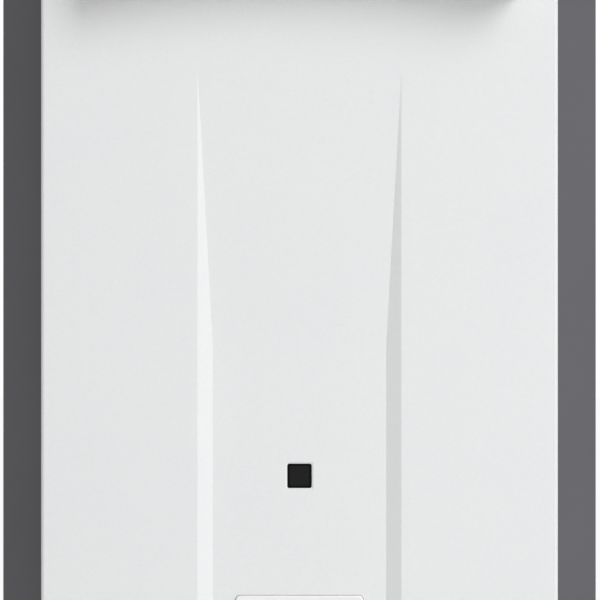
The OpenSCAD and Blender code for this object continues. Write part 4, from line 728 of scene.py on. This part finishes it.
ring_w = 3 * mm
ring_lap = frame_w - ring_w
ring = add_box("mouth_ring", (low.x, low.y, hood_low + ring_lap),
               (high.x, low.y + sheet_t, hood_top - draft - ring_lap))
pick(ring, "EDGE", lambda edge: runs(edge, 1))
bpy.ops.mesh.bevel(offset=5 * mm, segments=5)
raise_arch(ring, hood_low + ring_lap)
pick(ring, "FACE", lambda face: lies(face, 1, low.y))
bpy.ops.mesh.dissolve_faces()
pick(ring, "FACE", lambda face: not lies(face, 1, low.y))
bpy.ops.mesh.delete(type="FACE")
bpy.ops.mesh.select_all(action="SELECT")
bpy.ops.mesh.inset(thickness=ring_w)
bpy.ops.mesh.delete(type="FACE")
apply(ring, "SOLIDIFY", thickness=sheet_t, offset=-1)
hand_over(ring, heat_paint, "cover", "grille_paint", "exhaust_grille")

for side in (-1, 1):
    x = side * hood_w / 6
    upright = add_box("upright_" + ("left" if side < 0 else "right"),
                      (x - half_t, low.y, mouth_low), (x + half_t, high.y, mouth_low + mouth_h))
    pick(upright, "EDGE", lambda edge: runs(edge, 2))
    bpy.ops.mesh.bevel(offset=0.3 * mm, segments=2)
    hand_over(upright, heat_paint, "cover", "grille_paint")

# %% [markdown]
# ## Pipe fittings
# Each fitting is turned from hexagon brass bar: a male pipe thread below, the hexagon
# for the spanner, and a round barrel that passes through the case. A turned piece is
# built as on a lathe: a ring of edges is extruded step by step along the axis and
# scaled to the next radius. The thread is a small triangle wound up with a Screw
# modifier at the real 1.81 mm pitch. The same body serves gas, hot and cold water.

# %% Turned pieces and threads
def turned(name, middle, profile, sides=48, axis=2):
    """A closed turned piece from (radius, distance along the axis) steps, open in edit mode."""
    turn = {0: (0, math.radians(90), 0), 1: (math.radians(90), 0, 0), 2: (0, 0, 0)}[axis]
    first = Vector(middle)
    first[axis] += profile[0][1]
    start()
    bpy.ops.mesh.primitive_circle_add(vertices=sides, radius=profile[0][0], location=first,
                                      rotation=turn)
    piece = settle(name)
    bpy.ops.mesh.select_all(action="SELECT")
    for (before, low), (radius, high) in zip(profile, profile[1:]):
        step = [0, 0, 0]
        step[axis] = high - low
        bpy.ops.mesh.extrude_region_move(TRANSFORM_OT_translate={"value": step})
        size = [radius / before] * 3
        size[axis] = 1
        bpy.ops.transform.resize(value=size, center_override=first)
    bpy.ops.mesh.select_all(action="SELECT")
    bpy.ops.mesh.remove_doubles(threshold=0.001 * mm)
    bpy.ops.mesh.normals_make_consistent(inside=False)
    return piece


def join(name, *parts):
    """Joins pieces that are one piece of metal into the first of them."""
    start()
    for part in parts:
        part.select_set(True)
    bpy.context.view_layer.objects.active = parts[0]
    bpy.ops.object.join()
    parts[0].name = name
    return parts[0]


def thread(middle, crest, depth, length, pitch):
    """A helical ridge of triangular section, wound up along Z from a height."""
    start()
    quarter = math.radians(90)
    bpy.ops.mesh.primitive_circle_add(vertices=3, radius=depth, rotation=(quarter, 0, quarter),
                                      location=(0, crest - depth, 0))
    ridge = settle("ridge")
    bpy.ops.mesh.select_all(action="SELECT")
    bpy.ops.transform.resize(value=(1, 1, 0.55 * pitch / depth), center_override=(0, crest, 0))
    bpy.ops.object.mode_set(mode="OBJECT")
    apply(ridge, "SCREW", screw_offset=pitch, iterations=int(length / pitch) - 1, steps=36,
          render_steps=36, axis="Z", use_merge_vertices=False)
    bpy.ops.object.mode_set(mode="EDIT")
    bpy.ops.mesh.select_all(action="SELECT")
    bpy.ops.transform.translate(value=Vector(middle) + Vector((0, 0, pitch / 2)))
    bpy.ops.mesh.select_all(action="SELECT")
    bpy.ops.mesh.fill_holes(sides=3)
    bpy.ops.mesh.normals_make_consistent(inside=False)
    return ridge


way, crest, root, barrel = 8 * mm, 13.2 * mm, 12.1 * mm, 15 * mm
drop, thread_l, hex_r, hex_h, socket = 62 * mm, 16 * mm, 19 * mm, 10 * mm, 18 * mm
pitch = 1.814 * mm  # fourteen turns to the inch
hex_low = thread_l - drop
hex_top = hex_low + hex_h


def fitting(name, middle):
    """Body of a fitting standing on its axis; height 0 is the underside of the case."""
    body = turned(name, middle, [(way, socket), (way, -drop), (root - 0.8 * mm, -drop),
                                 (root, 0.8 * mm - drop), (root, hex_low - 1.2 * mm),
                                 (root - 0.4 * mm, hex_low - 1 * mm), (root - 0.4 * mm, hex_low),
                                 (barrel, hex_low + 0.5 * mm), (barrel, socket - 0.5 * mm),
                                 (barrel - 0.5 * mm, socket), (way, socket)])
    flats = turned("flats", middle, [(barrel - 1 * mm, hex_low), (hex_r - 2.2 * mm, hex_low),
                                     (hex_r, hex_low + 1.2 * mm), (hex_r, hex_top - 1.2 * mm),
                                     (hex_r - 2.2 * mm, hex_top), (barrel - 1 * mm, hex_top)], sides=6)
    ridge = thread(Vector(middle) + Vector((0, 0, -drop)), crest, crest - root + 0.3 * mm,
                   thread_l - 1 * mm, pitch)
    return join(name, body, flats, ridge)


def boss(middle, radius, bore, length):
    """A side boss running forwards from a fitting's axis."""
    base = 10 * mm
    return turned("boss", Vector(middle) + Vector((0, 0, -18 * mm)),
                  [(bore, -base), (bore, -length), (radius - 0.6 * mm, -length),
                   (radius, 0.6 * mm - length), (radius, -base), (bore, -base)], axis=1)


def middle_of(node):
    """Middle of a node's box."""
    low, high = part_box(node)
    return (low + high) / 2


case_low = up(0)
conn_y = middle_of("gas_inlet").y
boss_l = 28 * mm
gas_x, hot_x, cold_x = middle_of("gas_inlet").x, middle_of("hot_outlet").x, middle_of("cold_inlet").x
for node, x, radius, bore in (("gas_inlet", gas_x, 0, 0), ("hot_outlet", hot_x, 9 * mm, 6 * mm),
                              ("cold_inlet", cold_x, 13 * mm, 10 * mm)):
    middle = (x, conn_y, case_low)
    piece = fitting(node + "_turned", middle)
    if radius:
        piece = join(node + "_turned", piece, boss(middle, radius, bore, boss_l))
    hand_over(piece, brass, "heater", "brass", node)

# %% [markdown]
# ## Filter knob, drain knob and cable gland
# The filter's cap is unscrewed by hand for cleaning, so it is a ribbed nylon knob with
# a coin slot; the drain plug has the same form in brass. The ribs are every third face
# of the rim, extruded and softened. The gland is a nylon nut on a hexagon base, with a
# dome that closes round the cable.

# %% Knobs and gland
def grip_knob(name, node, stem_r, finish, slot, body):
    """A ribbed knob with a coin slot that fills a node's box, its axis along Y."""
    low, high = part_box(node)
    middle = (low + high) / 2
    rib = 1.1 * mm
    radius = (high.x - low.x) / 2 - rib
    cap_h = 12 * mm
    knob = add_round(name, radius, cap_h, (middle.x, low.y + cap_h / 2, middle.z), sides=72, axis="Y")
    centre = Vector((middle.x, 0, middle.z))

    def way_round(face):
        spot = face.calc_center_median() - centre
        return math.degrees(math.atan2(spot.z, spot.x)) % 15 < 5

    pick(knob, "FACE", lambda face: abs(face.normal.y) < 0.5 and way_round(face))
    bpy.ops.mesh.extrude_region_shrink_fatten(TRANSFORM_OT_shrink_fatten={"value": rib * 0.95})
    pick(knob, "FACE", lambda face: lies(face, 1, low.y) and len(face.verts) > 40)
    bpy.ops.mesh.inset(thickness=1.2 * mm)
    push(y=0.8 * mm)
    bpy.ops.mesh.inset(thickness=1.5 * mm)
    pick(knob, "EDGE", lambda edge: lies(edge, 1, low.y) or lies(edge, 1, low.y + cap_h))
    bpy.ops.mesh.bevel(offset=0.35 * mm, segments=2)
    stem = add_round("stem", stem_r, high.y - low.y - cap_h,
                     (middle.x, (low.y + cap_h + high.y) / 2, middle.z), axis="Y")
    pick(stem, "EDGE", lambda edge: lies(edge, 1, high.y))
    bpy.ops.mesh.bevel(offset=0.5 * mm, segments=2)
    blade = add_box("slot", (middle.x - 0.7 * radius, low.y - 1 * mm, middle.z - 0.8 * mm),
                    (middle.x + 0.7 * radius, low.y + 2.4 * mm, middle.z + 0.8 * mm))
    bpy.ops.object.mode_set(mode="OBJECT")
    apply(knob, "BOOLEAN", object=blade, operation="DIFFERENCE", solver="EXACT")
    bpy.data.objects.remove(blade)
    bpy.context.view_layer.objects.active = knob
    hand_over(join(name, knob, stem), finish, body, slot, node)


grip_knob("filter_knob", "filter_cap", 9.7 * mm, moulded["black_nylon"], "black_plastic", "filter")
grip_knob("drain_knob", "drain_plug", 5.7 * mm, brass, "brass", "drain")

low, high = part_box("cable_gland")
gland_at = Vector(((low.x + high.x) / 2, (low.y + high.y) / 2, low.z))
cable, tip, foot, nut = 5 * mm, 6.8 * mm, 9.2 * mm, 11.2 * mm
gland = turned("gland_body", gland_at, [
    (cable, 19 * mm), (cable, 0), (tip - 1 * mm, 0), (tip, 0.5 * mm), (tip + 0.8 * mm, 2 * mm),
    (foot - 0.6 * mm, 6 * mm), (foot - 0.6 * mm, 8 * mm), (8 * mm, 8.2 * mm), (8 * mm, 18.6 * mm),
    (7.6 * mm, 19 * mm), (cable, 19 * mm)])


def hex_ring(name, foot_z, top_z, soft):
    """A hexagonal nut of the gland between two heights, with soft edges."""
    return turned(name, gland_at, [(7.5 * mm, foot_z), (nut - 1 * mm, foot_z), (nut, foot_z + soft),
                                   (nut, top_z - soft), (nut - 1 * mm, top_z), (7.5 * mm, top_z)],
                  sides=6)


base = hex_ring("base", 8 * mm, 13 * mm, 0.6 * mm)
inner_nut = hex_ring("inner_nut", 14 * mm, 17 * mm, 0.4 * mm)
ribs = []
for i in range(12):
    angle = 2 * math.pi * i / 12
    spot = gland_at + Vector((math.cos(angle), math.sin(angle), 0)) * (foot - 1 * mm)
    ribs.append(turned("rib", spot, [(0.2 * mm, 3.2 * mm), (0.75 * mm, 3.8 * mm), (0.75 * mm, 7.4 * mm),
                                     (0.2 * mm, 8 * mm)], sides=8))
gland = join("gland_body", gland, base, inner_nut, *ribs)
hand_over(gland, moulded["black_nylon"], "heater", "black_plastic", "cable_gland")

# %% [markdown]
# ## Light, floor and background
# A product picture has one large soft light and an even fill. The light stands above and
# to the right, so the right flank and the right chamfer are brighter than the left ones,
# and the hood throws a soft shadow down the cover. A narrow strip on the right lifts the
# right chamfer, and a low one keeps the cover even further down, where the large light is
# weaker. The fill is the world's own light.
# The white background is not extra light on the heater: the world only looks white to
# camera rays, and to rays mirrored or let through, so metal and glass show it too.

# %% World and lights
scene = bpy.context.scene
scene.view_settings.view_transform = "Standard"
fill_level = 0.36
world = bpy.data.worlds.new("studio")
world.use_nodes = True
scene.world = world
sky = world.node_tree.nodes["Background"]
sky.inputs["Color"].default_value = linear("#FFFFFF")
rays = add(world, "LightPath")
seen = add(world, "Math", {0: rays.outputs["Is Camera Ray"], 1: rays.outputs["Is Transmission Ray"]},
           operation="MAXIMUM")
half_seen = add(world, "Math", {0: rays.outputs["Is Glossy Ray"], 1: 0.75}, operation="MULTIPLY")
shown = add(world, "Math", {0: seen.outputs[0], 1: half_seen.outputs[0]}, operation="MAXIMUM")
level = add(world, "MapRange", {"Value": shown.outputs[0], "To Min": fill_level, "To Max": 1.0})
world.node_tree.links.new(level.outputs["Result"], sky.inputs["Strength"])

middle = Vector((0, front_y, up(285)))


def softbox(name, way, gap, width, height, watts):
    """A rectangular soft light at a distance from the cover's middle, turned towards it."""
    way = Vector(way).normalized()
    data = bpy.data.lights.new(name, "AREA")
    data.shape = "RECTANGLE"
    data.size, data.size_y, data.energy = width, height, watts
    lamp = bpy.data.objects.new(name, data)
    lamp.location = middle + way * gap
    lamp.rotation_euler = way.to_track_quat("Z", "Y").to_euler()
    scene.collection.objects.link(lamp)
    print(name, "at", [round(c, 2) for c in lamp.location])


softbox("softbox", (0.32, -0.50, 0.36), 8.0, 6.0, 6.0, 348)
softbox("side_strip", (1.0, -0.8, -0.35), 1.33, 0.3, 0.7, 2.7)
softbox("low_strip", (0.25, -1.0, -0.5), 0.9, 0.6, 0.3, 0.6)

# %% [markdown]
# ## The floor
# The heater hangs on a wall, but a wall would hide its back, so there is only a pale
# floor under the pipe ends. Seen by the camera it is mostly its own white light, which
# lets it run into the white background and still keeps the heater's shadow. Its lit part
# renders a little under white, and its own light makes up for that.

# %% Floor
bpy.ops.object.select_all(action="DESELECT")
bpy.ops.mesh.primitive_plane_add(size=120, location=(0, 0, cad_box[0][2] - 1 * mm))
floor = bpy.context.active_object
floor.name = "floor"
floor_white = bpy.data.materials.new("floor_white")
floor_white.use_nodes = True
floor_surface = floor_white.node_tree.nodes["Principled BSDF"]
floor_surface.inputs["Base Color"].default_value = linear("#FAFAFA")
floor_surface.inputs["Roughness"].default_value = 0.9
glow = add(floor_white, "Emission", {"Color": linear("#FFFFFF"), "Strength": 1.06})
floor_rays = add(floor_white, "LightPath")
floor_share = add(floor_white, "Math", {0: floor_rays.outputs["Is Camera Ray"], 1: 0.85},
                  operation="MULTIPLY")
floor_mix = add(floor_white, "MixShader", {0: floor_share.outputs[0],
                                           1: floor_surface.outputs["BSDF"],
                                           2: glow.outputs["Emission"]})
floor_output = floor_white.node_tree.nodes["Material Output"]
floor_white.node_tree.links.new(floor_mix.outputs[0], floor_output.inputs["Surface"])
floor.data.materials.append(floor_white)
print("floor at", round(floor.location.z, 3))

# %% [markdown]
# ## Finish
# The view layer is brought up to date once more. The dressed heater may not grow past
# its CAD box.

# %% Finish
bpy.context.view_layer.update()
for side in (0, 1):
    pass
